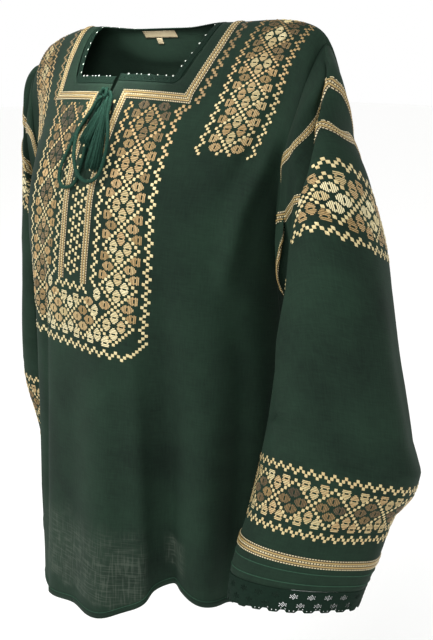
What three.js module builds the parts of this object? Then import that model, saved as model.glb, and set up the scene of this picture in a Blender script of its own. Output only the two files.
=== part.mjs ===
// Peasant blouse as worn: two body panels, two full sleeves, a square neck with a front slit,
// gold braid, crochet lace at the neck and cuffs, and a tied cord with two tassels.
// Millimetres, +Z up. The wearer faces -Y and the wearer's left is +X.
// The origin is the middle of the shoulder line, where the wearer's shoulders carry the blouse.
import * as THREE from 'three';

const WALL = 1.2; // woven cloth
const BRAID_THICK = 1.0; // gold braid sewn on the cloth
const LACE_THICK = 1.0; // crochet lace
const LABEL_THICK = 0.8;
const CLEAR = 0.15; // between the cloth and what is sewn on it
const GAP = 0.3; // between pieces that meet edge to edge
const BRAID_WIDTH = 10;
const NECK_DEPTH = 82; // from the shoulder line down the cloth to the neck's front edge
const BACK_DEPTH = 4; // the same at the back
const BRAID_TOP = 91.5; // top edge of the braid below the neck's front edge
const BACK_INSET = 11; // plain cloth between the neck's back edge and its braid
const NECK_LACE = 8;
const SLIT_END = 195; // foot of the front slit, measured down the cloth
const SLIT_OPEN = 1; // half width of the slit at its top
const SLIT_SPREAD = 2.5; // how much further its edges part as worn
const SLIT_BRAID = 15.5; // inner edge of the braid beside the slit
const SLIT_FLARE = 3; // how much further out that braid starts at its top
const SLIT_BRAID_END = 294;
const UNDERARM = 245; // armhole depth down the cloth
const BODY_LENGTH = 678;
const LABEL_HALF = 27;
const SHOULDER_TILT = 9; // the left shoulder is carried higher, the right one lower
const CUFF = 553; // sleeve length from the armhole seam to the edge of its cloth
const CUFF_LACE = 22;
const SLEEVE_BRAID = 10;
const SLEEVE_BRAIDS = { shoulder: 40, upper: 82, cuff: 525 }; // middles, from the armhole seam
const CORD_THICK = 3.8;
const CORD_SIDES = 8;
const KNOT_SIZE = 11;

// Half widths of the neck's cloth edge and of the inner edge of its braid, each by distance
// down the front from the shoulder line. The neck sits wider on the left.
const NECK_LINES = {
  left: {
    neck: [[0, 107], [20, 107.5], [40, 104.5], [60, 99.5], [NECK_DEPTH, 93]],
    braid: [[0, 122], [20, 122.5], [40, 119.5], [60, 114.5], [BRAID_TOP, 104.5]],
  },
  right: {
    neck: [[0, 100], [20, 99], [40, 94.5], [60, 87], [NECK_DEPTH, 79]],
    braid: [[0, 112], [20, 111], [40, 107.5], [60, 105], [BRAID_TOP, 102]],
  },
};
// How much lower the right half of the neck's front edge hangs.
const RIGHT_SAG = [
  // q, lower by
  [0, 0],
  [42, 0.5],
  [NECK_DEPTH, 4],
  [BRAID_TOP + BRAID_WIDTH, 4],
  [148, 0],
];

// The body's rows, q down the front cloth from the shoulder line, and below zero down the
// back: the middle (y, z), the side edge (x, y, z), and how full the curve between them is.
const BODY_ROWS = [
  // q, yMid, zMid, xEdge, yEdge, zEdge, fullX, fullY, fullZ
  [-700, 122, -663, 180, 15, -678, 2.3, 2.1, 2.0],
  [-520, 111, -484, 178, 14, -500, 2.3, 2.1, 2.0],
  [-371, 104, -334, 178, 12, -352, 2.3, 2.1, 2.0],
  [-295, 103, -259, 178, 10, -282, 2.3, 2.1, 2.0],
  [-245, 101, -209, 180, 4, -238, 2.3, 2.1, 2.0],
  [-195, 95, -160, 190, 36, -190, 2.3, 2.2, 2.2],
  [-130, 75, -98, 207, 52, -132, 2.5, 2.4, 2.4],
  [-88, 56, -60, 218, 48, -96, 2.6, 2.6, 2.6],
  [-44, 30, -24, 226, 36, -60, 2.6, 2.4, 2.6],
  [0, 0, 2, 225, 15, -30, 2.8, 2.0, 3.0],
  [44, -32, -26, 226, -10, -60, 2.5, 0.95, 2.8],
  [88, -57, -61, 218, -18, -98, 2.2, 0.85, 3.0],
  [130, -78, -98, 207, -20, -134, 2.2, 1.0, 2.8],
  [195, -104, -159, 190, -10, -190, 2.2, 1.6, 2.2],
  [245, -113, -209, 180, 4, -238, 2.2, 2.1, 2.0],
  [295, -119, -259, 178, 10, -282, 2.2, 2.1, 2.0],
  [371, -121, -334, 178, 12, -352, 2.2, 2.1, 2.0],
  [520, -128, -484, 178, 14, -500, 2.2, 2.1, 2.0],
  [700, -137, -663, 180, 15, -678, 2.2, 2.1, 2.0],
];
// Vertical folds of the lower body at the hem, by place across the cloth.
const FRONT_FOLDS = [
  // p, outward
  [-252, 4],
  [-190, 11],
  [-140, -9],
  [-95, -9],
  [-48, 3],
  [0, 0],
  [55, 9],
  [100, -30],
  [130, -26],
  [160, -8],
  [205, -5],
  [252, 0],
];
const BACK_FOLDS = [
  // p, outward
  [-252, 0],
  [-205, 8],
  [-150, -12],
  [-95, 9],
  [-35, -8],
  [25, 9],
  [85, -11],
  [150, 10],
  [200, -7],
  [252, 0],
];
const FOLD_GROWTH = [
  // q, share of the fold's size at the hem
  [200, 0],
  [260, 0.05],
  [371, 0.3],
  [520, 0.7],
  [700, 1],
];
// How much shorter than its full length the cloth ends, by place across it.
const SIDE_RISE = 42;
const FRONT_HEM = [
  // p, rise
  [-252, 42],
  [-185, 34],
  [-130, 12],
  [-80, -4],
  [-40, 0],
  [0, 8],
  [50, 14],
  [80, 26],
  [105, 44],
  [140, 56],
  [170, 50],
  [252, 42],
];
const BACK_HEM = [
  // p, rise
  [-252, 42],
  [-150, 24],
  [0, 14],
  [150, 24],
  [252, 42],
];
// Rings of a sleeve, s from the armhole seam: the centre, the vectors from it to the ring's
// outer and front points, and how far the underarm side hangs below that oval.
const LEFT_RINGS = [
  // s, centre x, y, z, outer x, y, z, front x, y, z, underarm drop
  [40, 228, -6, -158, 30, 5, 96, 0, -35, 36, 0],
  [82, 237, 1, -161, 33, -7, 60, 2, -46, 37, 52],
  [120, 246, 6, -163, 38, -10, 32, 6, -52, 36, 92],
  [192, 255, 6, -195, 49, -12, -2, 6, -62, 26, 106],
  [300, 262, 0, -296, 59, -4, 0, 2, -62, 18, 44],
  [430, 270, -3, -420, 67, 9, -1, -8, -63, 20, 4],
  [500, 261, -17, -477, 61, 13, -2, -6, -60, 13, 0],
  [525, 257, -25, -500, 60, 13, -1, -6, -59, 13, 0],
  [553, 253, -35, -531, 58, 13, 4, -6, -59, 14, 0],
  [575, 252, -41, -555, 56, 13, 8, -5, -58, 14, 0],
];
const RIGHT_RINGS = [
  [15, 214, 12, -140, 30, 2, 104, -1, -37, 14, 0],
  [40, 229, 18, -156, 32, 0, 98, -1, -38, 28, 0],
  [82, 232, 28, -168, 34, -2, 60, 2, -46, 24, 38],
  [120, 239, 36, -176, 38, -4, 36, 4, -50, 20, 68],
  [192, 245, 48, -212, 44, -6, 6, 4, -60, 10, 80],
  [300, 247, 47, -312, 50, -4, 2, 2, -68, 0, 30],
  [430, 247, 48, -440, 53, 0, 4, 0, -74, -10, 0],
  [500, 242, 56, -507, 48, 0, 4, 0, -70, -12, 0],
  [553, 238, 60, -558, 46, 0, 4, 0, -67, -12, 0],
  [575, 237, 62, -579, 46, 0, 4, 0, -66, -12, 0],
];
// The fold down the front of each sleeve: its place round the ring, its depth, and how far
// the cloth on its underarm side has slipped down along it.
const SLEEVE_FOLD = [
  // s, turn, depth, slip
  [0, 0.04, 0, 0],
  [18, 0.055, 7, 3],
  [40, 0.075, 12, 10],
  [82, 0.12, 17, 34],
  [120, 0.15, 17, 40],
  [192, 0.21, 17, 10],
  [300, 0.27, 11, 0],
  [430, 0.3, 3, 0],
  [600, 0.3, 0, 0],
];
const FOLD_WIDTH = 12;

// The drawcord from the neck edge through each loop of its bow and back to the knot.
const KNOT = [4, -71, -67];
const LEFT_LOOP = [
  // x, y, z
  [-3, -71.4, -66.8],
  [-6, -73, -72],
  [-11, -76, -83],
  [-19, -81, -96],
  [-28, -87, -110],
  [-33, -94, -126],
  [-36, -102, -143],
  [-32, -108, -156],
  [-20, -111, -163],
  [-8, -108, -160],
  [-4, -104, -150],
  [-3, -95, -127],
  [-4, -83.6, -101],
  [-4.4, -75.4, -81.5],
  [-1.6, -71.4, -72.6],
];
const RIGHT_LOOP = [
  [11.2, -70.8, -66.2],
  [15.4, -72.4, -71.4],
  [18.6, -77.6, -81],
  [21.4, -82.4, -90.3],
  [28.4, -87.4, -101.3],
  [34.6, -93.3, -113.5],
  [38.2, -98.7, -124.7],
  [39.7, -103.8, -135.6],
  [37.6, -108, -145.4],
  [28.8, -110.7, -152.3],
  [14.9, -111.3, -152.3],
  [2.3, -109.3, -145.8],
  [-7.6, -104.9, -134.7],
  [-16.1, -98.1, -122.5],
  [-20, -91, -108.8],
  [-15.6, -85.9, -97.3],
  [-5.6, -82.8, -85.5],
  [0.1, -79.2, -75.9],
  [4.2, -76.2, -71.4],
];
const TASSELS = {
  left: { top: [6, -70.6, -72.9], foot: [6, -101, -119.8] },
  right: { top: [9.6, -72, -71.3], foot: [26.2, -108, -143.2] },
};
const TASSEL_PROFILE = [
  // share of the length, radius
  [0, 1.2],
  [0.02, 1.9],
  [0.2, 1.9],
  [0.24, 3],
  [0.3, 3.2],
  [0.33, 2.4],
  [0.45, 3.6],
  [0.75, 5.4],
  [0.97, 6],
  [1, 4.6],
];

const mix = (a, b, t) => a + (b - a) * t;
const clamp01 = (t) => Math.min(1, Math.max(0, t));
const ease = (t) => clamp01(t) ** 2 * (3 - 2 * clamp01(t));
const vector = (values) => new THREE.Vector3(...values);

// A smooth curve through the rows of a table, each row's slope taken from its neighbours.
function along(table, t) {
  const last = table.length - 1;
  let i = 0;
  while (i < last - 1 && table[i + 1][0] <= t) i += 1;
  const before = table[Math.max(i - 1, 0)];
  const from = table[i];
  const to = table[i + 1];
  const after = table[Math.min(i + 2, last)];
  const span = to[0] - from[0];
  const u = (t - from[0]) / span;
  return from.slice(1).map((value, k) => {
    const end = to[k + 1];
    const slopeIn = (end - before[k + 1]) / (to[0] - before[0]);
    const slopeOut = (after[k + 1] - value) / (after[0] - from[0]);
    return (
      (2 * u ** 3 - 3 * u ** 2 + 1) * value +
      (u ** 3 - 2 * u ** 2 + u) * span * slopeIn +
      (3 * u ** 2 - 2 * u ** 3) * end +
      (u ** 3 - u ** 2) * span * slopeOut
    );
  });
}

// A chain of points with the length reached at each.
function chain(points) {
  const total = [0];
  for (let i = 1; i < points.length; i += 1) {
    total.push(total[i - 1] + points[i].distanceTo(points[i - 1]));
  }
  return { points, total };
}

// The point at a length along a chain.
function pointAt({ points, total }, length) {
  let i = 1;
  while (i < points.length - 1 && total[i] < length) i += 1;
  const t = (length - total[i - 1]) / (total[i] - total[i - 1]);
  return points[i - 1].clone().lerp(points[i], t);
}

// The side edge of the body: the armhole's edges part above the underarm and the two panels
// share one edge below it.
function sideEdge(q) {
  const own = along(BODY_ROWS, q).slice(2, 5);
  if (Math.abs(q) < UNDERARM) return own;
  const other = along(BODY_ROWS, -q).slice(2, 5);
  return own.map((value, k) => (value + other[k]) / 2);
}

// Half of a body row, from its middle to its side edge.
const rowStore = new Map();
function halfRow(q) {
  const key = q.toFixed(3);
  if (!rowStore.has(key)) {
    const [yMid, zMid, , , , fullX, fullY, fullZ] = along(BODY_ROWS, q);
    const [xEdge, yEdge, zEdge] = sideEdge(q);
    const points = [];
    for (let i = 0; i <= 48; i += 1) {
      const angle = (Math.PI / 2) * (i / 48);
      const sine = Math.sin(angle);
      const cosine = Math.max(Math.cos(angle), 0);
      points.push(
        new THREE.Vector3(
          xEdge * sine ** (2 / fullX),
          mix(yEdge, yMid, cosine ** (2 / fullY)),
          mix(zEdge, zMid, cosine ** (2 / fullZ)),
        ),
      );
    }
    rowStore.set(key, chain(points));
  }
  return rowStore.get(key);
}

// The shoulders are carried unevenly.
function tilted(point) {
  const side = ease((Math.abs(point.x) - 110) / 110);
  const fade = ease((point.z + 420) / 320);
  point.z += SHOULDER_TILT * side * fade * Math.sign(point.x);
  return point;
}

// A point of the body's cloth: p across from the middle, q down the front or, below zero,
// down the back.
function body(p, q) {
  const depth = Math.abs(q);
  const parted = q > 0 ? SLIT_SPREAD * clamp01((SLIT_END - q) / (SLIT_END - NECK_DEPTH)) : 0;
  const place = Math.abs(p) + parted * clamp01(1 - Math.abs(p) / 90) * clamp01(q / NECK_DEPTH);
  const row = halfRow(q);
  const point = pointAt(row, place);
  if (p < 0) point.x = -point.x;
  const growth = depth > FOLD_GROWTH[0][0] ? along(FOLD_GROWTH, depth)[0] : 0;
  const free = clamp01((row.total.at(-1) - Math.abs(p)) / 30);
  const outward = growth * free * along(q < 0 ? BACK_FOLDS : FRONT_FOLDS, p)[0];
  const away = new THREE.Vector3(point.x / 180, (point.y - 12) / 130, 0).normalize();
  point.addScaledVector(away, outward);
  return tilted(point);
}

// The armhole's edge: turn 0 at the shoulder, 0.25 in front, 0.5 underarm, 0.75 behind.
function armhole(turn, side) {
  const edge = halfRow(turn <= 0.5 ? 2 * UNDERARM * turn : 2 * UNDERARM * (turn - 1));
  const point = edge.points.at(-1).clone();
  point.x *= side;
  return tilted(point);
}

// A sleeve ring as a closed chain that starts at its outer point.
function ringChain([, cx, cy, cz, ox, oy, oz, fx, fy, fz, drop], side) {
  const points = [];
  for (let i = 0; i <= 96; i += 1) {
    const angle = (2 * Math.PI * i) / 96;
    const outer = Math.cos(angle);
    const front = Math.sin(angle);
    const sag = drop * ((1 - outer) / 2) ** 3;
    const x = cx + ox * outer + fx * front;
    const y = cy + oy * outer + fy * front;
    const z = cz + oz * outer + fz * front - sag;
    points.push(tilted(new THREE.Vector3(x * side, y, z)));
  }
  return chain(points);
}

// A sleeve's cloth as a function of turn round the ring and s down from the seam.
function makeSleeve(side) {
  const table = side > 0 ? LEFT_RINGS : RIGHT_RINGS;
  const rings = table.map((ring) => ({ at: ring[0], ring: ringChain(ring, side) }));
  const centres = table.map(([s, x, y, z]) => [s, x * side, y, z]);
  return (turn, s) => {
    const round = ((turn % 1) + 1) % 1;
    const knots = [[0, ...armhole(round, side).toArray()]];
    for (const { at, ring } of rings) {
      knots.push([at, ...pointAt(ring, round * ring.total.at(-1)).toArray()]);
    }
    const [foldTurn, depth, slip] = along(SLEEVE_FOLD, s);
    const past = (((turn - foldTurn) % 1) + 1) % 1;
    const slipped = s + slip * ease(past / 0.04) * ease((0.5 - past) / 0.15);
    const point = vector(along(knots, slipped));
    const away = (((past + 0.5) % 1) - 0.5) * 420;
    const inward = vector(along(centres, Math.max(slipped, 40))).sub(point).normalize();
    return point.addScaledVector(inward, depth * Math.exp(-((away / FOLD_WIDTH) ** 2)));
  };
}
const sleeves = { left: makeSleeve(1), right: makeSleeve(-1) };

// A corner of a sheet: its place in the whole garment, and its place in its own piece once
// the seam's gap is taken off.
const corner = (whole, own = whole) => ({ whole, own });
const keyOf = ({ whole }) => whole.toArray().map((value) => value.toFixed(3)).join();

// The triangles of a sheet of four-cornered cells; a cell with two corners alike gives one.
function trianglesOf(cells) {
  return cells.flatMap(([a, b, c, d]) => {
    const [first, second, third, fourth] = [a, b, c, d].map(keyOf);
    const halves = [];
    if (first !== second && second !== third) halves.push([a, b, c]);
    if (third !== fourth && fourth !== first) halves.push([a, c, d]);
    return halves;
  });
}

// The outward normal at each corner of a sheet.
function normalsOf(cells) {
  const normals = new Map();
  for (const triangle of trianglesOf(cells)) {
    const [a, b, c] = triangle.map(({ whole }) => whole);
    const normal = b.clone().sub(a).cross(c.clone().sub(a));
    for (const key of triangle.map(keyOf)) {
      normals.set(key, normal.clone().add(normals.get(key) ?? new THREE.Vector3()));
    }
  }
  normals.forEach((normal) => normal.normalize());
  return normals;
}

// A closed wall between two offsets of a sheet, along the normals given, with a rim at its
// open edges.
function wall(cells, low, high, normals = normalsOf(cells)) {
  const place = new Map();
  const owns = [];
  const order = [];
  const edges = new Set();
  const triangles = trianglesOf(cells);
  for (const found of triangles.flat()) {
    const key = keyOf(found);
    if (!place.has(key)) {
      place.set(key, owns.length);
      owns.push({ key, at: found.own, normal: normals.get(key) });
    }
  }
  const positions = [high, low].flatMap((offset) =>
    owns.flatMap(({ at, normal }) => at.clone().addScaledVector(normal, offset).toArray()),
  );
  const under = owns.length;
  for (const triangle of triangles) {
    const [a, b, c] = triangle.map((found) => place.get(keyOf(found)));
    order.push(a, b, c, a + under, c + under, b + under);
    for (const pair of [[a, b], [b, c], [c, a]]) edges.add(pair.join());
  }
  for (const edge of edges) {
    const [a, b] = edge.split(',').map(Number);
    if (edges.has(`${b},${a}`)) continue;
    // Both pieces at a seam cut their rims along the same diagonal.
    if (owns[a].key < owns[b].key) order.push(b, a, b + under, a, a + under, b + under);
    else order.push(b, a, a + under, b, a + under, b + under);
  }
  return meshGeometry(positions, order);
}

function meshGeometry(positions, order) {
  const geometry = new THREE.BufferGeometry();
  geometry.setAttribute('position', new THREE.Float32BufferAttribute(positions, 3));
  geometry.setIndex(order);
  return geometry;
}

// Cells of a grid of corners, each with its row and column; `flip` turns them over.
function cellsOf(grid, flip = false) {
  const cells = [];
  for (let i = 0; i + 1 < grid.length; i += 1) {
    for (let j = 0; j + 1 < grid[i].length; j += 1) {
      const cell = [grid[i][j], grid[i + 1][j], grid[i + 1][j + 1], grid[i][j + 1]];
      if (flip) cell.reverse();
      cells.push(Object.assign(cell, { row: i, column: j }));
    }
  }
  return cells;
}

// A round cord along a route.
function cord(route) {
  const curve = new THREE.CatmullRomCurve3(route.map(vector));
  const corners = Array.from({ length: CORD_SIDES }, (_, i) => {
    const angle = (2 * Math.PI * i) / CORD_SIDES;
    return new THREE.Vector2(Math.cos(angle), Math.sin(angle)).multiplyScalar(CORD_THICK / 2);
  });
  const steps = Math.round(curve.getLength() / (2.5 * CORD_THICK));
  const options = { steps, extrudePath: curve, bevelEnabled: false };
  return new THREE.ExtrudeGeometry(new THREE.Shape(corners), options);
}

// A tassel turned about the line from its top to its foot.
function tassel({ top, foot }) {
  const [start, end] = [vector(top), vector(foot)];
  const length = end.distanceTo(start);
  const rim = TASSEL_PROFILE.map(([share, radius]) => new THREE.Vector2(radius, share * length));
  const outline = [new THREE.Vector2(0, 0), ...rim, new THREE.Vector2(0, length)];
  const geometry = new THREE.LatheGeometry(outline, 10);
  const down = end.sub(start).normalize();
  const turn = new THREE.Quaternion().setFromUnitVectors(new THREE.Vector3(0, 1, 0), down);
  return geometry.applyQuaternion(turn).translate(...top);
}

const group = new THREE.Group();
group.name = 'peasant_blouse';
function add(name, geometry, color) {
  const mesh = new THREE.Mesh(geometry, new THREE.MeshStandardMaterial({ color }));
  mesh.name = name;
  group.add(mesh);
}

const GREEN = 0x24392f;
const GOLD = 0xcdb16a;
const DEEP_GREEN = 0x14281f;
const BEIGE = 0xcfc6a8;

const BRAID_FOOT = BRAID_TOP + BRAID_WIDTH;
const LOWER_ROWS = [122, 148, 172, SLIT_END, 220, UNDERARM];
const HEM_ROWS = [SLIT_BRAID_END, 345, 405, 470, 540, 615, BODY_LENGTH];
const FRONT_ROWS = [0, 20, 42, 62, NECK_DEPTH, BRAID_TOP, BRAID_FOOT, ...LOWER_ROWS];
const BACK_BRAID = BACK_DEPTH + BACK_INSET;
const BACK_ROWS = [0, BACK_DEPTH, BACK_BRAID, BACK_BRAID + BRAID_WIDTH, 44, 66, 94];
BACK_ROWS.push(...LOWER_ROWS);
// The sleeve's columns start where the body's rows end at the armhole.
const ARMHOLE_TURNS = FRONT_ROWS.map((q) => q / UNDERARM / 2);
ARMHOLE_TURNS.push(...BACK_ROWS.slice(1, -1).reverse().map((q) => 1 - q / UNDERARM / 2));
FRONT_ROWS.push(...HEM_ROWS);
BACK_ROWS.push(...HEM_ROWS);
const OUTER_SHARES = [0.25, 0.5, 0.74, 0.92, 1];

// Column lines of a panel from its middle outwards, as places across the cloth at q.
// The lines from the neck's edge to its braid lean out towards the shoulder.
function columnsAt(q, side, innermost) {
  const inner = neckLine('braid', side, q);
  const braid = inner + BRAID_WIDTH;
  const edge = halfRow(q).total.at(-1);
  const outer = OUTER_SHARES.map((share) => mix(braid, edge, share));
  return [...innermost, neckLine('neck', side, q), inner, braid, ...outer];
}
function neckLine(kind, side, q) {
  const table = NECK_LINES[side > 0 ? 'left' : 'right'][kind];
  return along(table, Math.min(Math.max(q, 0), table.at(-1)[0]))[0];
}
const slitShare = (q) => clamp01((SLIT_END - q) / (SLIT_END - NECK_DEPTH));
const slitEdge = (q) => SLIT_OPEN * slitShare(q);
const slitBraid = (q) => SLIT_BRAID + SLIT_FLARE * slitShare(q);

// The distance down the cloth with the right side's sag, which fades out towards the shoulder.
function sagged(p, q) {
  if (p >= 0 || q <= 0 || q >= RIGHT_SAG.at(-1)[0]) return q;
  return q + along(RIGHT_SAG, q)[0] * clamp01((200 + p) / 80);
}

// A corner of the body's cloth; seams at the shoulder, the side and the armhole leave a gap.
function bodyCorner(p, q, facing) {
  const down = sagged(p, q);
  const own = Math.max(Math.abs(down), 0.8 * GAP) * facing;
  const edge = halfRow(q).total.at(-1) - GAP / 2;
  return corner(body(p, down), body(Math.sign(p) * Math.min(Math.abs(p), edge), own));
}

// Half of a panel, `side` +1 on the wearer's left; cells above the neck's edge are left out.
function halfPanel(rows, side, isBack) {
  const neckColumns = isBack ? 3 : 5;
  const hem = isBack ? BACK_HEM : FRONT_HEM;
  const facing = isBack ? -1 : 1;
  const edgeRow = rows.indexOf(isBack ? BACK_DEPTH : NECK_DEPTH);
  const grid = rows.map((q) => {
    const inner = slitBraid(q);
    const middle = isBack ? [0, LABEL_HALF, 58] : [slitEdge(q), inner, inner + BRAID_WIDTH, 45, 66];
    const edge = halfRow(facing * q).total.at(-1);
    return columnsAt(facing * q, side, middle).map((p) => {
      const rise = mix(SIDE_RISE, along(hem, side * p)[0], clamp01((edge - p) / 30));
      const length = q - rise * ease((q - 371) / (BODY_LENGTH - 371));
      const wider = halfRow(facing * length).total.at(-1) / edge;
      return bodyCorner(side * p * wider, facing * length, facing);
    });
  });
  const cells = cellsOf(grid, side > 0 === isBack);
  return cells.filter(({ row, column }) => row >= edgeRow || column >= neckColumns);
}

function panel(rows, isBack) {
  return [...halfPanel(rows, 1, isBack), ...halfPanel(rows, -1, isBack)];
}

// Columns round a sleeve, measured from its front fold so that the second runs down it.
const FOLD_TURNS = [-0.03, 0, 0.03, 0.07, 0.12, 0.165, 0.21, 0.25, 0.29, 0.33, 0.38, 0.43, 0.47];
FOLD_TURNS.push(0.52, 0.56, 0.61, 0.66, 0.71, 0.76, 0.81, 0.85, 0.88, 0.91, 0.94);
const edgesOf = (middle) => [middle - SLEEVE_BRAID / 2, middle + SLEEVE_BRAID / 2];
const SLEEVE_ROWS = [0, 17, ...edgesOf(SLEEVE_BRAIDS.shoulder), 61];
SLEEVE_ROWS.push(...edgesOf(SLEEVE_BRAIDS.upper), 107, 135, 170, 215, 270, 345, 430, 478);
SLEEVE_ROWS.push(...edgesOf(SLEEVE_BRAIDS.cuff), CUFF);

function sleeveCells(side, rows, gap = GAP / 2) {
  const grid = rows.map((s) => {
    const [foldTurn] = along(SLEEVE_FOLD, s);
    const away = ease(s / 30);
    const spots = ARMHOLE_TURNS.map((turn, i) => mix(turn, foldTurn + FOLD_TURNS[i], away));
    const at = (turn, down) => sleeves[side](turn, down);
    const own = Math.max(s, rows[0] + gap);
    const ring = spots.map((turn) => corner(at(turn, s), at(turn, own)));
    return [...ring, ring[0]];
  });
  return cellsOf(grid, side === 'left');
}

// Lace along the neck's edge, from one side of the slit round to the other.
function neckLace() {
  const inner = slitBraid(NECK_DEPTH);
  const half = (side) => {
    const edge = (q) => [neckLine('neck', side, q), q];
    const low = edge(NECK_DEPTH);
    const high = [edge(0)[0], -BACK_DEPTH];
    const across = [slitEdge(NECK_DEPTH), inner, inner + BRAID_WIDTH, 45, 66];
    const spots = [
      ...across.map((p) => [p, NECK_DEPTH]),
      low,
      ...[62, 42, 20, 0].map(edge),
      high,
      ...[58, LABEL_HALF, 0].map((p) => [p, -BACK_DEPTH]),
    ];
    return spots.map((spot) => {
      const [p, q] = spot;
      const isSide = spot === low || spot === high || (q < NECK_DEPTH && q > -BACK_DEPTH);
      const inwards = [isSide ? -1 : 0, q === NECK_DEPTH ? -1 : q === -BACK_DEPTH ? 1 : 0];
      const at = (by) => {
        const across = side * (p + inwards[0] * by);
        return body(across, sagged(across, q + inwards[1] * by));
      };
      return [corner(at(0), at(GAP)), corner(at(NECK_LACE))];
    });
  };
  return [...half(1), ...half(-1).reverse().slice(1)];
}

const front = panel(FRONT_ROWS, false);
const back = panel(BACK_ROWS, true);
const sleeveSheets = {
  left: sleeveCells('left', SLEEVE_ROWS),
  right: sleeveCells('right', SLEEVE_ROWS),
};
const neckLaceCells = cellsOf(neckLace());
const cuffLaceRows = [CUFF, CUFF + CUFF_LACE];
const cuffLaceSheets = {
  left: sleeveCells('left', cuffLaceRows, GAP),
  right: sleeveCells('right', cuffLaceRows, GAP),
};
const ofBothSides = (sheets) => [...sheets.left, ...sheets.right];
const normals = normalsOf([
  ...front,
  ...back,
  ...neckLaceCells,
  ...ofBothSides(sleeveSheets),
  ...ofBothSides(cuffLaceSheets),
]);
const onCloth = WALL / 2 + CLEAR;
const cloth = (cells) => wall(cells, -WALL / 2, WALL / 2, normals);
const braid = (cells) => wall(cells, onCloth, onCloth + BRAID_THICK, normals);
const lace = (cells) => wall(cells, -LACE_THICK / 2, LACE_THICK / 2, normals);
add('front', cloth(front), GREEN);
add('back', cloth(back), GREEN);
add('neck_lace', lace(neckLaceCells), DEEP_GREEN);

// Braid beside the slit, along the neck's front edge and up to the shoulder.
const topRow = FRONT_ROWS.indexOf(BRAID_TOP);
const slitFoot = FRONT_ROWS.indexOf(SLIT_BRAID_END);
const neckBraid = ({ row, column }) =>
  (column === 1 && row >= topRow && row < slitFoot) ||
  (column >= 1 && column <= 6 && row === topRow) ||
  (column === 6 && row <= topRow);
for (const [name, side] of [['left', 1], ['right', -1]]) {
  const half = halfPanel(FRONT_ROWS, side, false);
  add(`neck_braid_${name}`, braid(half.filter(neckBraid)), GOLD);
}
const backBraidRow = BACK_ROWS.indexOf(BACK_BRAID);
const backBraid = back.filter(
  ({ row, column }) =>
    (column <= 4 && row === backBraidRow) || (column === 4 && row <= backBraidRow),
);
add('neck_braid_back', braid(backBraid), GOLD);

// The woven label inside the back neck, with a small tag below it.
const label = back.filter(({ row, column }) => row === 1 && column === 0);
add('label', wall(label, -onCloth - LABEL_THICK, -onCloth, normals), BEIGE);
const tagRows = [BACK_BRAID, BACK_BRAID + 7];
const tagGrid = tagRows.map((q) => [-9, 0].map((p) => corner(body(p, -q))));
add('size_tag', wall(cellsOf(tagGrid), -onCloth - 2, -onCloth - 1.4), BEIGE);

for (const [side, cells] of Object.entries(sleeveSheets)) {
  add(`sleeve_${side}`, cloth(cells), GREEN);
  for (const [name, middle] of Object.entries(SLEEVE_BRAIDS)) {
    const row = SLEEVE_ROWS.indexOf(edgesOf(middle)[0]);
    add(`${name}_braid_${side}`, braid(cells.filter((cell) => cell.row === row)), GOLD);
  }
  add(`cuff_lace_${side}`, lace(cuffLaceSheets[side]), DEEP_GREEN);
}

// The tied cord: a knot, two loops and two tassels.
const knot = new THREE.SphereGeometry(KNOT_SIZE / 2, 10, 8);
add('tie_knot', knot.translate(...KNOT), DEEP_GREEN);
add('tie_left', cord(LEFT_LOOP), DEEP_GREEN);
add('tie_right', cord(RIGHT_LOOP), DEEP_GREEN);
for (const [name, ends] of Object.entries(TASSELS)) {
  add(`tassel_${name}`, tassel(ends), DEEP_GREEN);
}

export default group;
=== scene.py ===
import math

import bpy
import numpy as np
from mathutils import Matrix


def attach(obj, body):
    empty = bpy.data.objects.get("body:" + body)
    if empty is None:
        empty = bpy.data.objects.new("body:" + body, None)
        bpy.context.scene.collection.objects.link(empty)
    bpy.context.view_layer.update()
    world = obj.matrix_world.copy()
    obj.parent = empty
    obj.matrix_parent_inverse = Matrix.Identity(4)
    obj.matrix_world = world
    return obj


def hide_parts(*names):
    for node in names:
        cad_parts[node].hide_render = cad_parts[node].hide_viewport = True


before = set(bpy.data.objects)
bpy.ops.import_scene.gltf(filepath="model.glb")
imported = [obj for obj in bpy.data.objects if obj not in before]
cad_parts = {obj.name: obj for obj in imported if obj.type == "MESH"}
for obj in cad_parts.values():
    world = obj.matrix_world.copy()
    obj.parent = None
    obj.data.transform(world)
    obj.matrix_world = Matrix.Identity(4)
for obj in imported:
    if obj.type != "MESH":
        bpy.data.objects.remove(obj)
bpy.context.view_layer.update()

# A peasant blouse worn hollow. Forms are worked out in millimetres, in the frame of the packed
# part, and become metres only where a mesh is made.
mm = 0.001
rng = np.random.default_rng(11)

camera = {"azimuth": 47.0, "elevation": 15.5, "distance": 1100, "aim": (64.8, -324.2),
          "focal": 956.3, "imageHeight": 640, "sensorHeight": 24}


def addObject(name, data):
    made = bpy.data.objects.new(name, data)
    bpy.context.scene.collection.objects.link(made)
    return made


def setPlace(obj, axes, at):
    # Blender takes the matrix column by column: x, y and z axes, then the place
    obj.matrix_world = [[*axis, 0] for axis in axes] + [[*at, 1]]


def placeCamera():
    # on the ray from the aim point at the azimuth and elevation
    az, el = math.radians(camera["azimuth"]), math.radians(camera["elevation"])
    right = np.array([math.cos(az), math.sin(az), 0.0])
    back = np.array([math.sin(az) * math.cos(el), -math.cos(az) * math.cos(el), math.sin(el)])
    at = right * camera["aim"][0] + np.array([0, 0, camera["aim"][1]]) + back * camera["distance"]
    data = bpy.data.cameras.new("camera")
    data.sensor_fit, data.sensor_height = "VERTICAL", camera["sensorHeight"]
    data.lens = camera["focal"] * camera["sensorHeight"] / camera["imageHeight"]
    data.clip_start, data.clip_end = 0.05, 60
    eye = addObject("camera", data)
    setPlace(eye, (right, np.cross(back, right), back), at * mm)
    bpy.context.scene.camera = eye


placeCamera()
print("camera placed")


def clamp01(t):
    return np.clip(t, 0.0, 1.0)


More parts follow.
